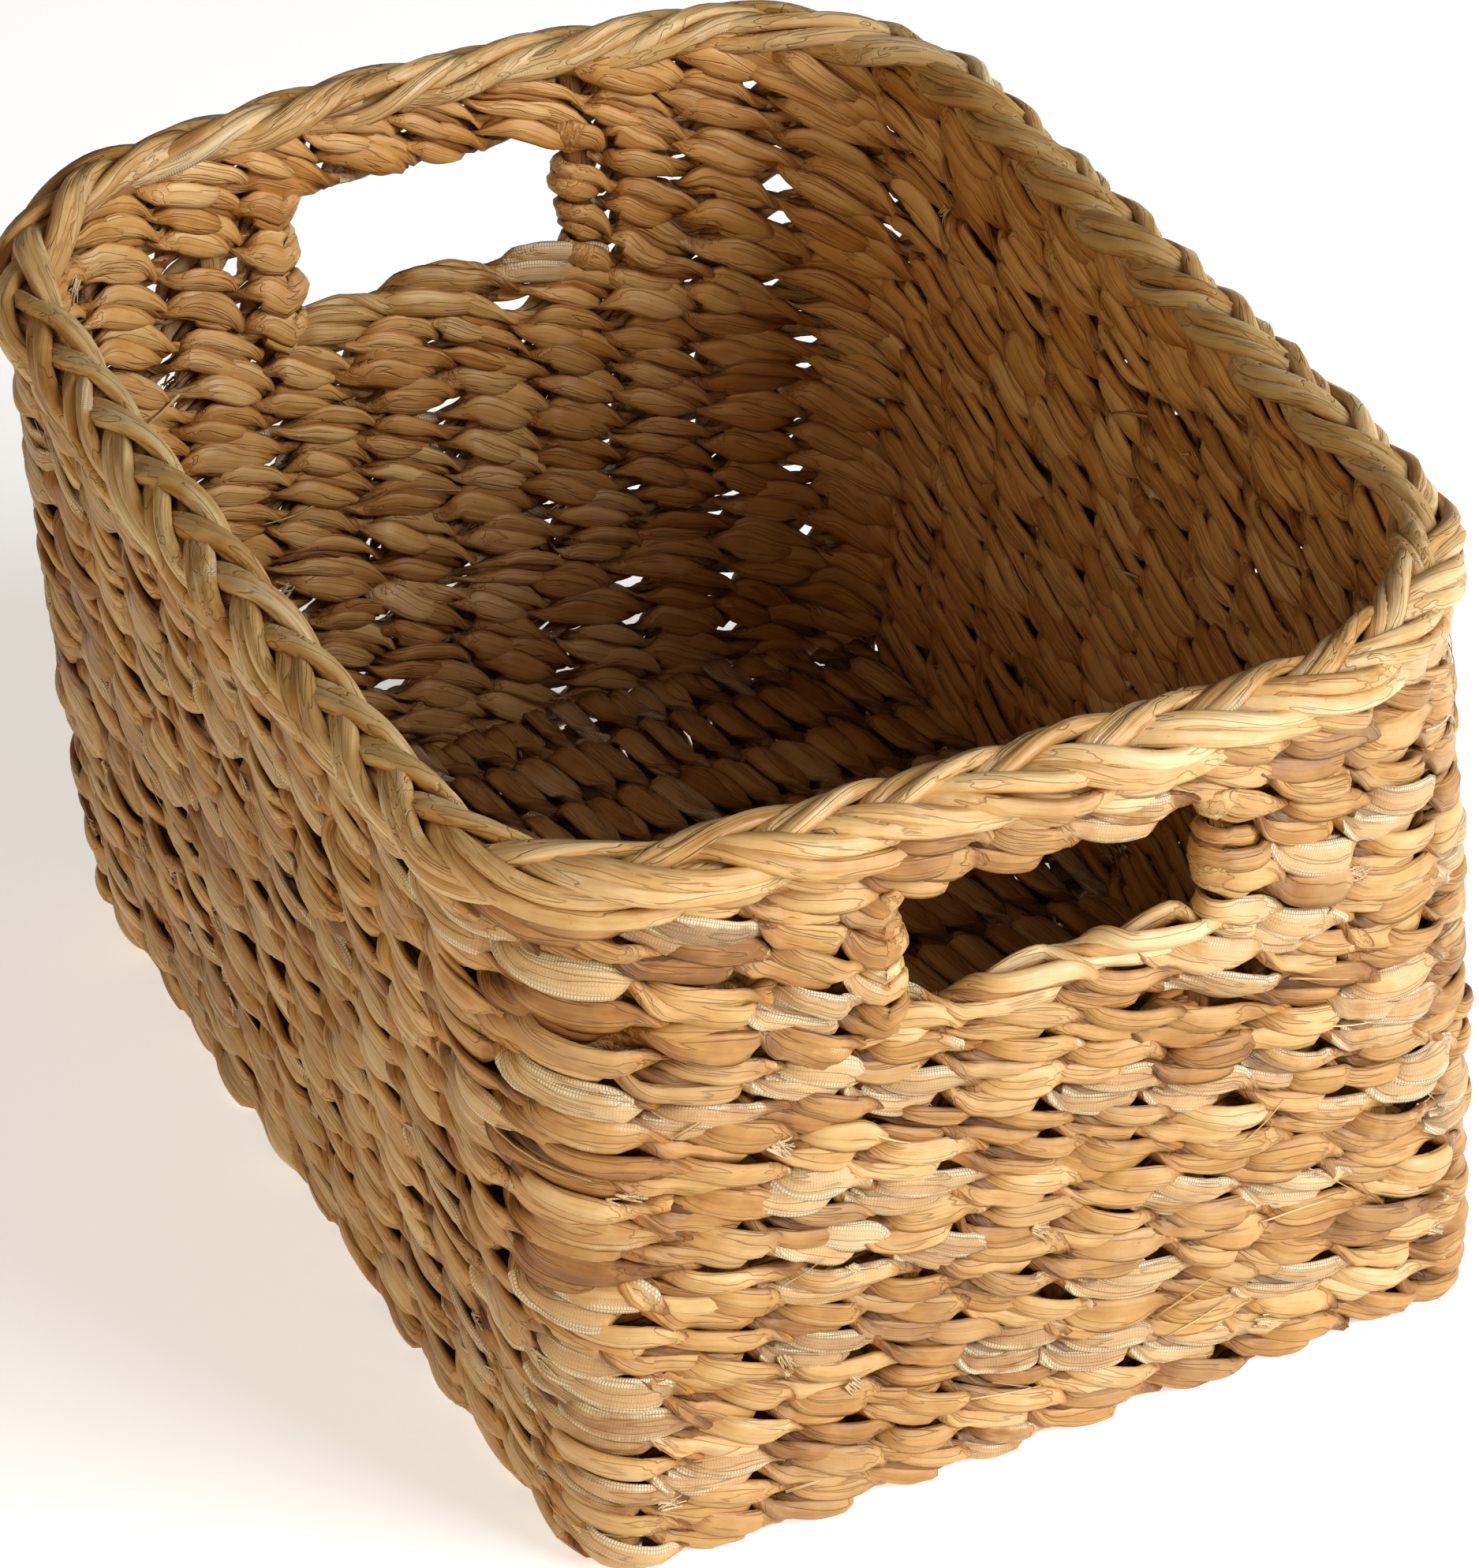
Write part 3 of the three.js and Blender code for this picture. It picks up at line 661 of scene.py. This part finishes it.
def fill_corners(rows):
    """Widens the leaves by up to 0.14 round the corners, by exp(-(stakes from the corner / 1.3)^2)."""
    half = STAKES_ROUND / 2
    corners = np.array([*CORNER_STAKES.values()])
    off = np.abs((rows[:, STAKE, None] - corners + half) % STAKES_ROUND - half).min(1)
    wider = 1 + 0.14 * np.exp(-((off / 1.3) ** 2))
    rows[:, WIDTH] *= wider
    rows[:, APART] *= wider
    return rows


def ring_course(wall, look, middle, draw):
    """Both bundles of a course that runs all the way round. Each begins and ends under a crossing."""
    count = STAKES_ROUND * RING_STEPS
    stake = SEAM_PLACE + np.arange(count) / RING_STEPS
    first = int(draw.integers(0, 2))
    counted = stake + unsteady(stake, draw)
    line = course_line(stake, middle)
    skins = []
    for strand in range(2):
        rows = twine(counted, stake, first + strand, line, look, chances(draw))
        skins += bundle(wall, fill_corners(rows), True, draw)
    return skins


def turn_back(rows, after, sign):
    """A bundle's turn round a slot's post: a half circle from the outer to the inner run, or back.

    At angle t from 0 to pi it stands out by out * cos(t) and goes along by sign * 1.35 |out| * sin(t). Its
    face turns with it, and its other columns change evenly to those of the run that comes after. Halfway
    round it is higher, narrower and thicker by so many millimetres."""
    last = rows[-1]
    angle = np.linspace(0, math.pi, TURN_STEPS + 2)[1:-1]
    turn = last + (after[0] - last) * (angle / math.pi)[:, None]
    cos, sin = np.cos(angle), np.sin(angle)
    turn[:, OUT] = last[OUT] * cos
    turn[:, ALONG] = sign * 1.35 * abs(last[OUT]) * sin
    turn[:, FACE_OUT], turn[:, FACE_ALONG] = math.copysign(1, last[OUT]) * cos, sign * sin
    turn[:, FACE_UP] = 0
    for column, change in ((HEIGHT, 1.6), (WIDTH, -1.2), (APART, -0.5), (THICK, 1.9)):
        turn[:, column] += change * sin
    return turn


def half_course(wall, look, middle, draw, first, last):
    """A course that turns back at both hand slots, as one closed bundle."""
    counted = np.linspace(first, last, (last - first) * RING_STEPS + 1)
    knots = np.arange(first, last + 1.0)
    places = np.array([first + POST_INSET, *knots[1:-1], last - POST_INSET])
    stake = np.interp(counted, knots, places)
    phase = first + int(draw.integers(0, 2))
    line = course_line(stake, middle)
    there = twine(counted, stake, phase, line, look, chances(draw))
    back = twine(counted, stake, phase + 1, line, look, chances(draw))[::-1]
    rows = np.vstack([there, turn_back(there, back, 1), back, turn_back(back, there, -1)])
    seam = len(there) + TURN_STEPS + round(((last - first) // 2 + 1 - SEAM_PLACE) * RING_STEPS)
    rows = np.roll(rows, -seam, 0)
    lead = LEAD * smooth(np.minimum(rows[:, STAKE] - places[0], places[-1] - rows[:, STAKE]) / 0.8)
    return bundle(wall, fill_corners(rows), True, draw, lead)


class Given:
    """Places that are given as points, with the frame's own axes as the ways out, along and up."""

    def __init__(self, points):
        self.points = np.asarray(points, float)

    def frames(self, stake, height):
        """The given points, whatever the stake and height, and the X, Y and Z axes."""
        return self.points, *axes(len(self.points))


def rim_strand(wall, strand, ribbon, draw):
    """One ribbon of a strand of the plait round the rim.

    Each strand swings `turns` times from side to side on its way round. With a as that swing's angle, it lies
    swing * sin(a) across the plait and -lift * sin(2a) above its middle layer: over the others on its way to
    the middle, and under them on its way out. The plait is bent over the wall's top: a place across it is an
    angle on an arch, and past the arch's foot a fall down the wall. The strand also goes on along the rim by
    slant * sqrt(across^2 + 4), which makes the lobes that show long and the hidden ones steep. It begins and
    ends an eighth of a swing from its middle, under the others."""
    count = STAKES_ROUND * PLAIT_STEPS
    seam = STAKES_ROUND / RIM["turns"] * (strand / RIM["strands"] - 1 / 8) - RIM["start"]
    stake = seam + np.arange(count) / PLAIT_STEPS
    angle = -FULL_TURN * (RIM["turns"] * (stake + RIM["start"]) / STAKES_ROUND - strand / RIM["strands"])
    chance = chances(draw)
    pick = {name: spread(values, stake, 0.45) for name, values in chance.items()}
    beside = ribbon - (RIM["ribbons"] - 1) / 2
    swing = RIM["swing"] * np.sin(angle) * (1 + 0.1 * pick["roll"])
    across = swing + beside * RIM["ribbon"] + 0.9 * pick["height"]
    above = -RIM["lift"] * np.sin(2 * angle) + 0.5 * pick["out"]
    bend = across / RIM["radius"] + RIM["lean"]
    arch = bend.clip(-math.pi / 2, math.pi / 2)
    hang = RIM["radius"] * (np.abs(bend) - math.pi / 2).clip(0)
    rows = np.zeros((count, COLUMNS))
    rows[:, STAKE] = stake
    rows[:, ALONG] = RIM["slant"] * np.sqrt(swing ** 2 + 4)
    rows[:, OUT] = (RIM["wide"] + above) * np.sin(arch)
    rows[:, HEIGHT] = RIM["middle"] + (RIM["high"] + above) * np.cos(arch) - hang
    face = arch + 0.15 * pick["roll"]
    rows[:, FACE_OUT], rows[:, FACE_UP] = np.sin(face), np.cos(face)
    rows[:, WIDTH] = RIM["width"] * (1 + 0.1 * pick["width"])
    rows[:, THICK] = RIM["thick"]
    rows[:, TONE] = spread(chance["tone"], stake, 0.4)
    rows[:, PITH] = 0.8 * spread(chance["pith"], stake, 0.3) - 0.2
    rows[:, SEED] = pick["seed"]
    return surface(wall, rows, True)


def rim_core(wall, draw):
    """The ends of the stakes and leaves that the plait is bent over, as one round bundle."""
    count = STAKES_ROUND * CORE_STEPS
    rows = np.zeros((count, COLUMNS))
    rows[:, STAKE] = np.arange(count) / CORE_STEPS
    rows[:, HEIGHT], rows[:, FACE_UP] = RIM["middle"], 1
    rows[:, [WIDTH, THICK]] = RIM["core"]
    rows[:, TONE], rows[:, SEED] = 0.3, draw.uniform(0, 9)
    return surface(wall, rows, True)


def stalk(place, face, draw):
    """The skin of a stalk with three folds, along the points of a place, with its flat side to the faces."""
    rows = np.zeros((len(place.points), COLUMNS))
    rows[:, [FACE_OUT, FACE_ALONG, FACE_UP]] = face
    rows[:, WIDTH], rows[:, THICK] = 7.0, 2.6
    rows[:, TONE] = 0.5 + 0.15 * draw.normal()
    rows[:, SEED] = draw.uniform(0, 10)
    return surface(place, rows, False, 3, 0.28)


def bent_stake(wall, ends, level, top, draw):
    """A stake down one wall, round a quarter circle of 5 mm, across the base and up the other wall."""
    bend, up, sides = 5.0, np.array([0.0, 0.0, 1.0]), []
    for stake in ends:
        height = np.linspace(top, level + bend, STALK_STEPS)
        origin, out, _, _ = wall.frames(np.full(STALK_STEPS, float(stake)), height)
        turn = np.linspace(0, math.pi / 2, TURN_STEPS)[1:, None]
        centre = origin[-1] - bend * out[-1]
        face = out[-1] * np.cos(turn) - up * np.sin(turn)
        sides.append((np.vstack([origin, centre + bend * face]), np.vstack([out, face])))
    (near, near_face), (far, far_face) = sides
    share = np.linspace(0, 1, STALK_STEPS)[1:-1, None]
    middle = near[-1] * (1 - share) + far[-1] * share
    points = np.vstack([near, middle, far[::-1]])
    faces = np.vstack([near_face, np.repeat(-up[None], len(middle), 0), far_face[::-1]])
    return stalk(Given(points), faces, draw)


def wall_stake(wall, stake, low, draw):
    """A stake that stands in the wall only."""
    height = np.linspace(low, STAKE_TOP, STALK_STEPS)
    origin, out, _, _ = wall.frames(np.full(STALK_STEPS, float(stake)), height)
    return stalk(Given(origin), out, draw)


def fibres(wall, draw, patches, strays):
    """Frayed patches and loose slivers on both faces of the wall, none of them beside a slot.

    A patch is a few slivers from about one place. Each leaves the wall by lift * t and curls by curl * t^2. A
    stray sliver lies along the wall and leaves it a little in the middle, by lift * sin(pi t)."""
    skins = []
    t = np.linspace(0, 1, SLIVER_RINGS)
    for number in range(patches + strays):
        patch = number < patches
        kind = PATCH if patch else STRAY
        stake = draw.integers(0, STAKES_ROUND) + draw.normal(0.5, kind["beside"])
        height = draw.uniform(12, 192)
        beside_slot = min(abs(stake - 4.5), abs(stake - 25.5)) < 2.6 and height > 142
        sign = 1 if draw.uniform() < 0.6 else -1
        tone, aim = draw.uniform(0.6, 1.0), draw.uniform(*kind["aim"])
        if beside_slot:
            continue
        for _ in range(int(draw.integers(*PATCH_SLIVERS)) if patch else 1):
            length = draw.uniform(*kind["length"])
            way = aim + draw.normal(0, kind["fan"])
            lift = draw.uniform(*kind["lift"])
            curl = draw.normal(0, kind["curl"])
            off = draw.normal(0, PATCH_SPREAD, 2) if patch else (0, 0)
            rows = np.zeros((SLIVER_RINGS, COLUMNS))
            rows[:, STAKE] = stake + (off[0] + length * t * math.cos(way)) / MEAN_PITCH
            rows[:, HEIGHT] = height + off[1] + length * t * math.sin(way) + curl * t ** 2
            rows[:, OUT] = sign * (5.0 + lift * (t if patch else np.sin(math.pi * t)))
            rows[:, FACE_OUT] = sign
            rows[:, WIDTH] = draw.uniform(0.5, 1.3) * (1 - 0.6 * t)
            rows[:, THICK] = 0.3
            rows[:, TONE], rows[:, PITH], rows[:, SEED] = tone, kind["pith"], draw.uniform(0, 9)
            skins.append(surface(wall, rows, False, 0, 0, 5))
    return skins


def number(name, description, default, least, most, unit="LENGTH", subtype="NONE"):
    """A number that a user may change, in metres unless another unit is given."""
    return bpy.props.FloatProperty(
        name=name, description=description, default=default, min=least, max=most, unit=unit, subtype=subtype)


class BasketSizes(bpy.types.PropertyGroup):
    """Sizes of the basket and of its leaf bundles."""

    wall_height: number("Wall height", "From the floor to the rim's top, at a side", 0.2155, 0.1, 0.5)
    rim_half_length: number("Rim half length", "From the middle to an end, at the rim", 0.1798, 0.1, 0.4)
    rim_half_width: number("Rim half width", "From the middle to a side, at the rim", 0.1372, 0.08, 0.3)
    base_half_length: number("Base half length", "From the middle to an end, at the base", 0.1748, 0.1, 0.4)
    base_half_width: number("Base half width", "From the middle to a side, at the base", 0.1242, 0.08, 0.3)
    belly: number("Belly", "How far the wall swells halfway up", 0.0026, 0, 0.02)
    wall_thickness: number("Wall thickness", "From the outer to the inner floats", 0.0112, 0.005, 0.02)
    leaf_width: number("Leaf width", "Width of a leaf where it passes a stake", 0.0075, 0.003, 0.02)
    leaf_waist: number("Leaf waist", "Width of a leaf between the stakes", 0.0060, 0.002, 0.02)


def leaf_colour(name, description, default):
    """A colour that a user may change."""
    return bpy.props.FloatVectorProperty(
        name=name, description=description, default=default, size=3, subtype="COLOR", min=0, max=1)


class BasketLooks(bpy.types.PropertyGroup):
    """Colours and gloss of the dried leaf."""

    # The ramp's darkest stop, reached where a low tone meets the painted shade of sunken float ends, leaf
    # borders and inner leaves.
    dark_leaf: leaf_colour("Dark leaf", "The darkest folds", (0.11, 0.040, 0.010))
    brown_leaf: leaf_colour("Brown leaf", "Bundles that dried brown", (0.28, 0.125, 0.032))
    honey_leaf: leaf_colour("Honey leaf", "The warmest bundles", (0.46, 0.245, 0.076))
    straw_leaf: leaf_colour("Straw leaf", "The usual bundles", (0.59, 0.372, 0.152))
    pale_leaf: leaf_colour("Pale leaf", "The palest bundles", (0.71, 0.53, 0.29))
    khaki_leaf: leaf_colour("Khaki leaf", "Bundles that dried greyish", (0.42, 0.29, 0.145))
    # On the wall's inner faces this tint is painted warm bounce light; on rim leaves it is their warmer
    # colour.
    inner_tint: leaf_colour("Inner tint", "What the inner faces' colour is multiplied by", (1.0, 0.84, 0.62))
    pith: leaf_colour("Pith", "Pale pith along the edges", (0.75, 0.61, 0.40))
    gloss: number("Roughness", "How matt the leaf is", 0.42, 0, 1, "NONE", "FACTOR")


class BasketStage(bpy.types.PropertyGroup):
    """Floor and lights."""

    floor_colour: leaf_colour("Floor colour", "The plain floor", (0.90, 0.90, 0.89))
    key_power: number("Key light", "Power of the large soft light", 87.0, 0, 1000, "POWER")
    fill_power: number("Fill light", "Power of the light on the shaded side", 28.0, 0, 1000, "POWER")
    surround: number("Surround", "Strength of the even surround", 0.12, 0, 5, "NONE")
    floor_glow: number("Floor glow", "Light that the floor gives, as a lit sweep does", 0.52, 0, 5, "NONE")


class BASKET_OT_courses(bpy.types.Operator):
    """Makes the twined courses of the wall"""

    bl_idname = "basket.courses"
    bl_label = "Wall courses"

    def execute(self, context):
        sizes = context.scene.basket_sizes
        wall = Wall(sizes)
        look = leaf_look(sizes)
        for index in range(COURSES):
            name = f"course_{index + 1:02d}"
            draw = default_rng(100 + index)
            middle = FIRST_COURSE_LOW + COURSE_PITCH * (index + 0.5)
            if index + 1 in SLOT_COURSES:
                for node, ends in ((name + "_right", RIGHT_COURSE), (name + "_left", LEFT_COURSE)):
                    make_piece("twined_" + node, half_course(wall, look, middle, draw, *ends), [node])
            else:
                top = index + 1 == COURSES
                skins = ring_course(wall, look, middle - TOP_COURSE_DROP if top else middle, draw)
                if top:
                    under_rim = {**look, "reach": look["reach"] + UNDER_RIM_OUT}
                    skins += ring_course(wall, under_rim, middle + UNDER_RIM_RISE, draw)
                make_piece("twined_" + name, skins, [name])
        return {"FINISHED"}


class BASKET_OT_base(bpy.types.Operator):
    """Makes the heel course and the rows twined along the base"""

    bl_idname = "basket.base"
    bl_label = "Base and heel"

    def execute(self, context):
        sizes = context.scene.basket_sizes
        wall = Wall(sizes)
        heel = leaf_look(sizes, width=6.2, waist=5.0, thick=3.8)
        skins = ring_course(wall, heel, HEEL_PLACE, default_rng(90))
        make_piece("twined_heel", skins, ["heel_course"])
        look = leaf_look(sizes, fall=2.3, sag=0.5, thick_waist=6.0, width=7.4, warm_inside=False)
        half_width, half_length = wall.base_half
        pitch = 2 * (half_width - BASE_SIDE) / BASE_ROWS
        near_bow, right_bow, far_bow, left_bow = wall.rim_bow * wall.base_bow_share
        skins = []
        for row in range(BASE_ROWS):
            place = (row - (BASE_ROWS - 1) / 2) * pitch
            inner = half_length - (BASE_END if 1 < row < BASE_ROWS - 2 else BASE_CORNER_END)
            swell = 1 - (place / half_width) ** 2
            near, far = -(inner + near_bow * swell) / SIDE_PITCH, (inner + far_bow * swell) / SIDE_PITCH
            counted = np.linspace(near, far, int((far - near) * BASE_STEPS))
            lean = place / half_width * (right_bow if place > 0 else left_bow)
            line = place + lean * (1 - (counted * SIDE_PITCH / half_length) ** 2)
            draw = default_rng(300 + row)
            first = int(draw.integers(0, 2))
            for strand in range(2):
                rows = twine(counted, counted, first + strand, line, look, chances(draw, 16))
                skins += bundle(Floor(BASE_PLACE), rows, False, draw)
        make_piece("twined_base", skins, ["base_weave_lower", "base_weave_upper"])
        return {"FINISHED"}


class BASKET_OT_stakes(bpy.types.Operator):
    """Makes the stakes in the walls and across the base"""

    bl_idname = "basket.stakes"
    bl_label = "Stakes"

    def execute(self, context):
        wall = Wall(context.scene.basket_sizes)
        draw, skins = default_rng(500), {}
        for at in range(SIDE_STAKES):
            ends = 10 + at, STAKES_ROUND - 1 - at
            skins[f"side_stake_{at + 1:02d}"] = bent_stake(wall, ends, SIDE_STAKE_LEVEL, STAKE_TOP, draw)
        for at in range(END_STAKES):
            top = UNDER_SLOT if 1 < at < END_STAKES - 2 else STAKE_TOP
            skins[f"end_stake_{at + 1:02d}"] = bent_stake(wall, (1 + at, 29 - at), END_STAKE_LEVEL, top, draw)
        for name, stake in CORNER_STAKES.items():
            skins["corner_stake_" + name] = wall_stake(wall, stake, CORNER_FOOT, draw)
        for name, stake in POST_STAKES.items():
            skins["slot_post_" + name] = wall_stake(wall, stake, POST_FOOT, draw)
        for node, skin in skins.items():
            make_piece("stalk_" + node, [skin], [node], "stalk")
        return {"FINISHED"}


class BASKET_OT_rim(bpy.types.Operator):
    """Makes the plaited rim"""

    bl_idname = "basket.rim"
    bl_label = "Rim plait"

    def execute(self, context):
        wall = Wall(context.scene.basket_sizes)
        draw = default_rng(700)
        skins = [rim_strand(wall, strand, ribbon, draw) for strand in range(RIM["strands"])
                 for ribbon in range(RIM["ribbons"])]
        skins.append(rim_core(wall, draw))
        make_piece("plaited_rim", skins, ["rim_braid"], "rim_leaf")
        return {"FINISHED"}


class BASKET_OT_sills(bpy.types.Operator):
    """Makes the twisted lower edge of each hand slot"""

    bl_idname = "basket.sills"
    bl_label = "Slot sills"

    def execute(self, context):
        sizes = context.scene.basket_sizes
        wall = Wall(sizes)
        look = leaf_look(
            sizes, width=6.8, waist=5.6, thick=4.0, thick_waist=4.6, reach=3.4, fall=2.3, sag=0.2,
            warm_inside=False)
        for name, first, last, seed in (("near", 2.6, 6.4, 801), ("far", 23.6, 27.4, 802)):
            draw = default_rng(seed)
            stake = np.linspace(first, last, 60)
            together = 0.2 + 0.8 * smooth(np.minimum(stake - first, last - stake) / 0.6)
            skins = []
            for strand in range(2):
                rows = twine(0.75 * stake, stake, strand, SILL_PLACE, look, chances(draw))
                rows[:, OUT] *= together
                rows[:, HEIGHT] = SILL_END_PLACE + (rows[:, HEIGHT] - SILL_END_PLACE) * together
                skins += bundle(wall, rows, False, draw)
            make_piece("twisted_sill_" + name, skins, ["sill_roll_" + name], "rim_leaf")
        return {"FINISHED"}


class BASKET_OT_frays(bpy.types.Operator):
    """Makes the frayed ends and loose slivers"""

    bl_idname = "basket.frays"
    bl_label = "Frayed ends"

    def execute(self, context):
        wall = Wall(context.scene.basket_sizes)
        make_piece("frayed_ends", fibres(wall, default_rng(900), 80, 130), [])
        return {"FINISHED"}


class BASKET_OT_stage(bpy.types.Operator):
    """Makes the pale floor, the soft lights and the camera at the photographed angle"""

    bl_idname = "basket.stage"
    bl_label = "Floor, lights and camera"

    def execute(self, context):
        scene, stage = context.scene, context.scene.basket_stage
        mesh = bpy.data.meshes.new("floor")
        corners = [(x * FLOOR_REACH, y * FLOOR_REACH, 0) for x, y in ((-1, -1), (1, -1), (1, 1), (-1, 1))]
        mesh.from_pydata(corners, [], [(0, 1, 2, 3)])
        material = bpy.data.materials.new("floor")
        material.use_nodes = True
        for name, value in (
            ("Base Color", (*stage.floor_colour, 1)), ("Roughness", 0.9), ("Emission Color", (1, 1, 1, 1)),
            ("Emission Strength", stage.floor_glow),
        ):
            material.node_tree.nodes["Principled BSDF"].inputs[name].default_value = value
        mesh.materials.append(material)
        floor = add_object("floor", mesh)
        world = bpy.data.worlds.new("surround")
        world.use_nodes = True
        background = world.node_tree.nodes["Background"]
        background.inputs["Color"].default_value = (1, 0.85, 0.66, 1)
        background.inputs["Strength"].default_value = stage.surround
        scene.world = world
        for name, place, target, size, power, colour in (
            ("key", (1.45, -1.75, 1.20), (0, -0.05, 0.1), 1.8, stage.key_power, (0.94, 1.01, 1.12)),
            ("fill", (-1.9, -1.7, 1.1), (0, 0, 0.1), 1.2, stage.fill_power, (1, 0.82, 0.58)),
        ):
            lamp = bpy.data.lights.new(name, "AREA")
            lamp.size, lamp.energy, lamp.color = size, power, colour
            light = add_object(name, lamp)
            light.location = place
            light.rotation_euler = (Vector(target) - Vector(place)).to_track_quat("-Z", "Y").to_euler()
        lens = bpy.data.cameras.new("camera")
        lens.sensor_fit, lens.sensor_width, lens.lens = "AUTO", 36.0, FOCAL_LENGTH
        lens.clip_start, lens.clip_end = 0.05, 50
        camera = add_object("camera", lens)
        turn = Matrix.Rotation(CAMERA_TURN, 4, "Z") @ Matrix.Rotation(CAMERA_TILT, 4, "X")
        turn = turn @ Matrix.Rotation(CAMERA_ROLL, 4, "Z")
        camera.matrix_world = Matrix.Translation(CAMERA_PLACE) @ turn
        scene.camera = camera
        scene.view_settings.view_transform = "Standard"
        scene.view_settings.gamma = 0.9
        return {"FINISHED"}


class BASKET_PT_panel(bpy.types.Panel):
    """Lists the basket's sizes, looks and makers"""

    bl_idname = "BASKET_PT_panel"
    bl_label = "Basket"
    bl_space_type = "VIEW_3D"
    bl_region_type = "UI"
    bl_category = "Basket"

    def draw(self, context):
        for group in (context.scene.basket_sizes, context.scene.basket_looks, context.scene.basket_stage):
            box = self.layout.box()
            for name in group.__annotations__:
                box.prop(group, name)
        for maker in MAKERS:
            self.layout.operator(maker.bl_idname)


GROUPS = {"basket_sizes": BasketSizes, "basket_looks": BasketLooks, "basket_stage": BasketStage}
MAKERS = (
    BASKET_OT_stage, BASKET_OT_courses, BASKET_OT_base, BASKET_OT_stakes, BASKET_OT_rim, BASKET_OT_sills,
    BASKET_OT_frays,
)
CLASSES = (*GROUPS.values(), *MAKERS, BASKET_PT_panel)


def register():
    """Registers the classes and gives the scene its three property groups."""
    for item in CLASSES:
        bpy.utils.register_class(item)
    for name, group in GROUPS.items():
        setattr(bpy.types.Scene, name, bpy.props.PointerProperty(type=group))


def unregister():
    """Takes the property groups and the classes away again."""
    for name in GROUPS:
        delattr(bpy.types.Scene, name)
    for item in reversed(CLASSES):
        bpy.utils.unregister_class(item)


def main():
    """Makes the basket and its stage."""
    register()
    for maker in MAKERS:
        category, action = maker.bl_idname.split(".")
        getattr(getattr(bpy.ops, category), action)()


if __name__ == "__main__":
    main()
